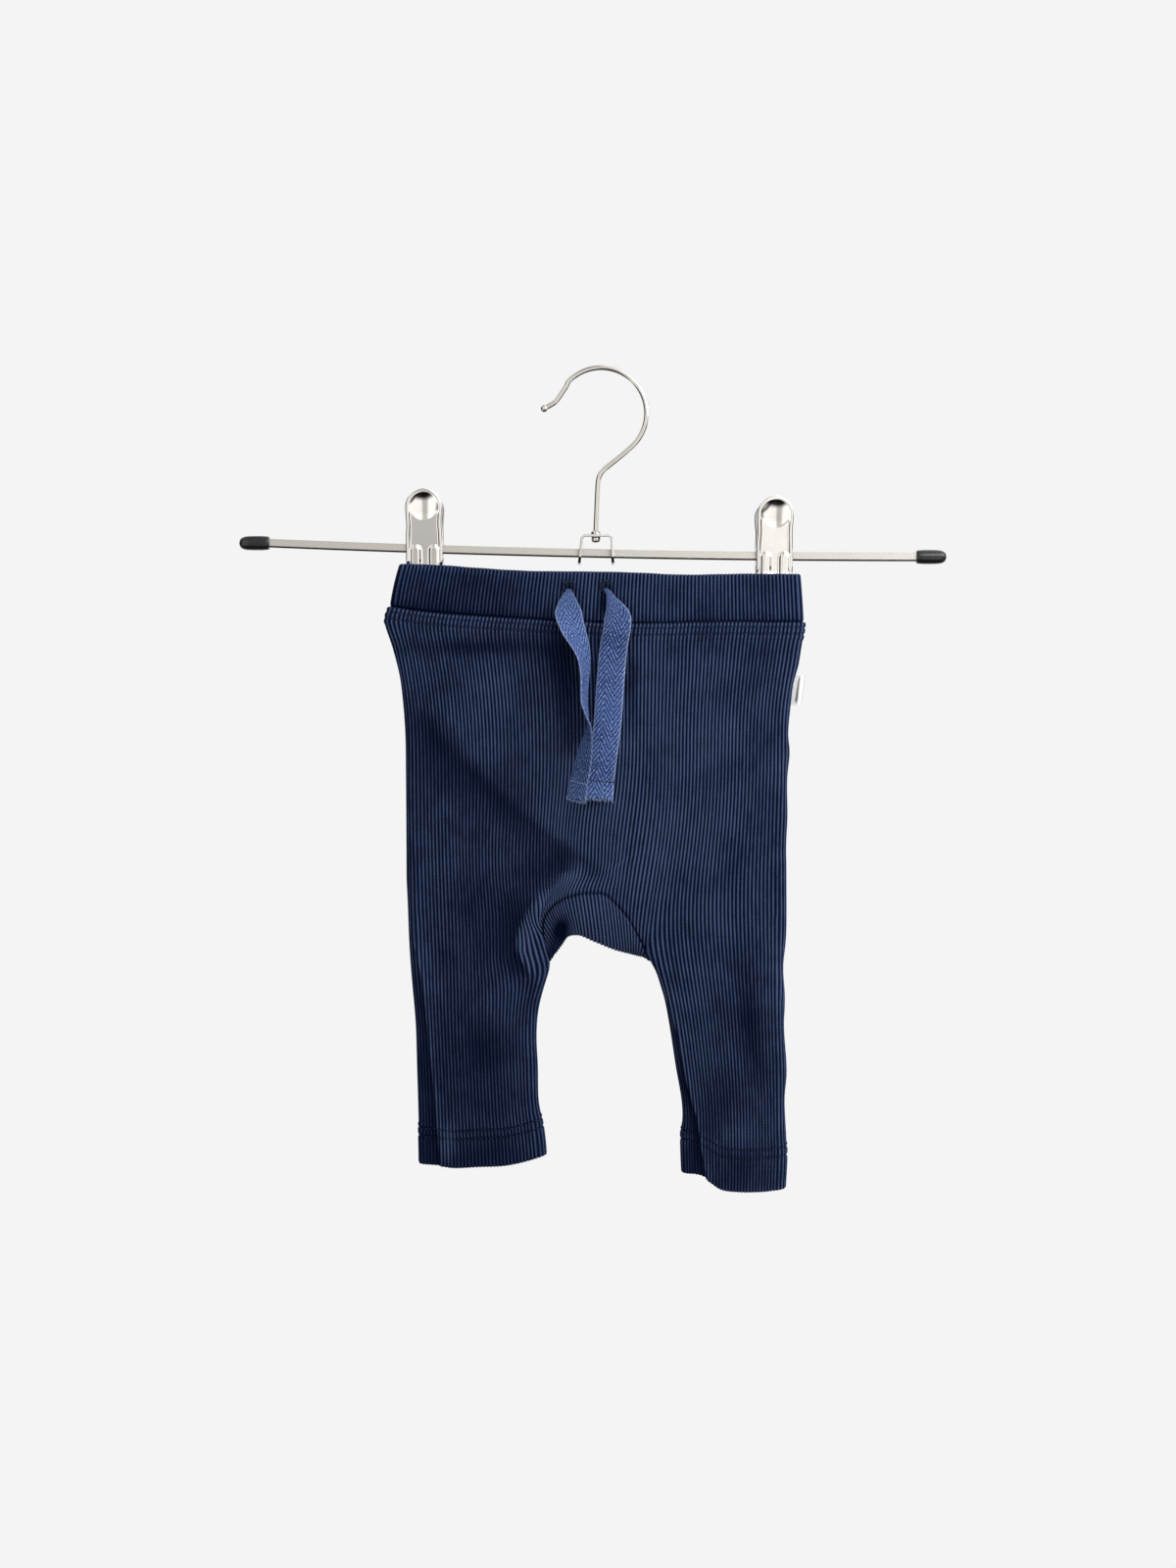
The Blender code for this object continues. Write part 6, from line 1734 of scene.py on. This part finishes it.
# ------------------------------------------------------------------ putting it together
def shade_of(shade_and_fades, relief=None, folds=None):
    """How much lighter or darker the cloth is painted at each place: painted shade in crease troughs,
    wear and painted highlight on their crests, the folds' painted highlight and shadow, and the
    listed patches of painted shade and fading.
    """
    def shade(x, z):
        rise = np.zeros(np.shape(x)) if relief is None else relief(x, z)
        amount = np.where(rise < 0, TROUGH_SHADE * np.tanh(0.6 * rise), CREST_WEAR_AND_LIGHT * rise)
        if folds:
            amount = amount + folds(x, z)[1]
        for cx, cz, wide, high, more in zip(*shade_and_fades.values()):
            amount = amount + more * np.exp(-(((x - cx) / wide) ** 2) - ((z - cz) / high) ** 2)
        return np.maximum(amount, DARKEST_SHADE)
    return shade


def dress():
    camera()
    studio()
    woven = herringbone("tape_cotton", TAPE_DARK, TAPE_LIGHT, TAPE_WORN)
    navy_thread = thread("navy_thread", (0.006, 0.010, 0.034), (0.030, 0.044, 0.10))
    pale_thread = thread("tape_thread", (0.10, 0.16, 0.34), (0.34, 0.42, 0.62))
    yarn = thread("frayed_yarn", (0.10, 0.16, 0.32), (0.32, 0.40, 0.62))
    for side in ("left", "right"):
        piece, stations = tape(side, woven)
        sewn = pale_thread if side == "left" else navy_thread
        trim = tape_trim(side, stations, sewn, yarn)
        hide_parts(f"drawstring_{side}")
    body = rib_knit("body_rib", KNIT_DARK, KNIT_LIGHT, KNIT_WORN)
    band_cloth = rib_knit("waistband_rib", BAND_DARK, BAND_LIGHT, KNIT_WORN)
    front, front_face = leg_panel("front_cloth", -1, front_relief, body,
                                  shade_of(FRONT_SHADE_AND_FADES, front_relief, lips))
    back, back_face = leg_panel("back_cloth", 1, back_relief, body,
                               shade_of(BACK_FADES, back_relief))
    crotch, crotch_points = gusset(body, shade_of(GUSSET_SHADE_AND_FADES))
    band = waistband(band_cloth, shade_of(WAIST_SHADE_AND_FADES))
    for side in EYELETS:
        hole = Pile()
        turned(hole, (EYELETS[side], -20.0, EYELET_Z), (0, 1, 0),
               ((0, EYELET_R), (17.0, EYELET_R)), 20)
        carve(band, "eyelet_cutter", hole)
    for name, face, piece in (("front_sewing", front_face, front), ("back_sewing", back_face, back)):
        sewing = sew_panel(name, face, navy_thread)
    holes = [eyelet(side, navy_thread) for side in EYELETS]
    label = side_label(woven_white("label_ribbon"))
    for piece, node, slot in ((front, "front_panel", "body_knit"), (back, "back_panel", "body_knit"),
                              (crotch, "gusset", "body_knit"), (band, "waistband", "waistband_knit"),
                              (label, "side_label", "label")):
        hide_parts(node)
    hang()


def hang():
    """The hanger's pieces, each in place of its plainer solid."""
    chrome = bright_steel("clip_chrome", (0.86, 0.85, 0.83), 0.09, 120)
    wire = bright_steel("wire_chrome", (0.66, 0.65, 0.62), 0.09, 200, bump=0.03)
    strip = bright_steel("bar_nickel", (0.56, 0.55, 0.52), 0.42, 60, bump=0.04)
    shaded = bright_steel("chrome_in_shade", (0.20, 0.195, 0.185), 0.3, 120)
    bent = bright_steel("bracket_chrome", (0.86, 0.85, 0.83), 0.12, 120, BRACKET_TIP + 3.1)
    # The bar's underside: a near-black matt finish, painted shade on the same nickel bar.
    dark = Finish("bar_underside_shade", (0.012, 0.011, 0.010), 0.9, specular=0.04)
    dark.colour(dark.mix(dark.noise(dark.spot(), 300),
                         (0.008, 0.007, 0.006), (0.022, 0.020, 0.018)))
    made = [(bar(strip, dark.material), "hanger_bar", "steel"),
            (hook(wire), "hanger_hook", "steel"),
            (bracket(bent), "hook_bracket", "steel")]
    for side in ("left", "right"):
        made.append((end_cap(side, soft_rubber(f"cap_rubber_{side}")), f"end_cap_{side}", "cap"))
        made.append((clip_spring(side, wire), f"clip_{side}_spring", "steel"))
        for face in ("front", "back"):
            plate = chrome if face == "front" else shaded
            made.append((clip_half(side, face, plate), f"clip_{side}_{face}", "steel"))
    for piece, node, slot in made:
        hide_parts(node)


dress()
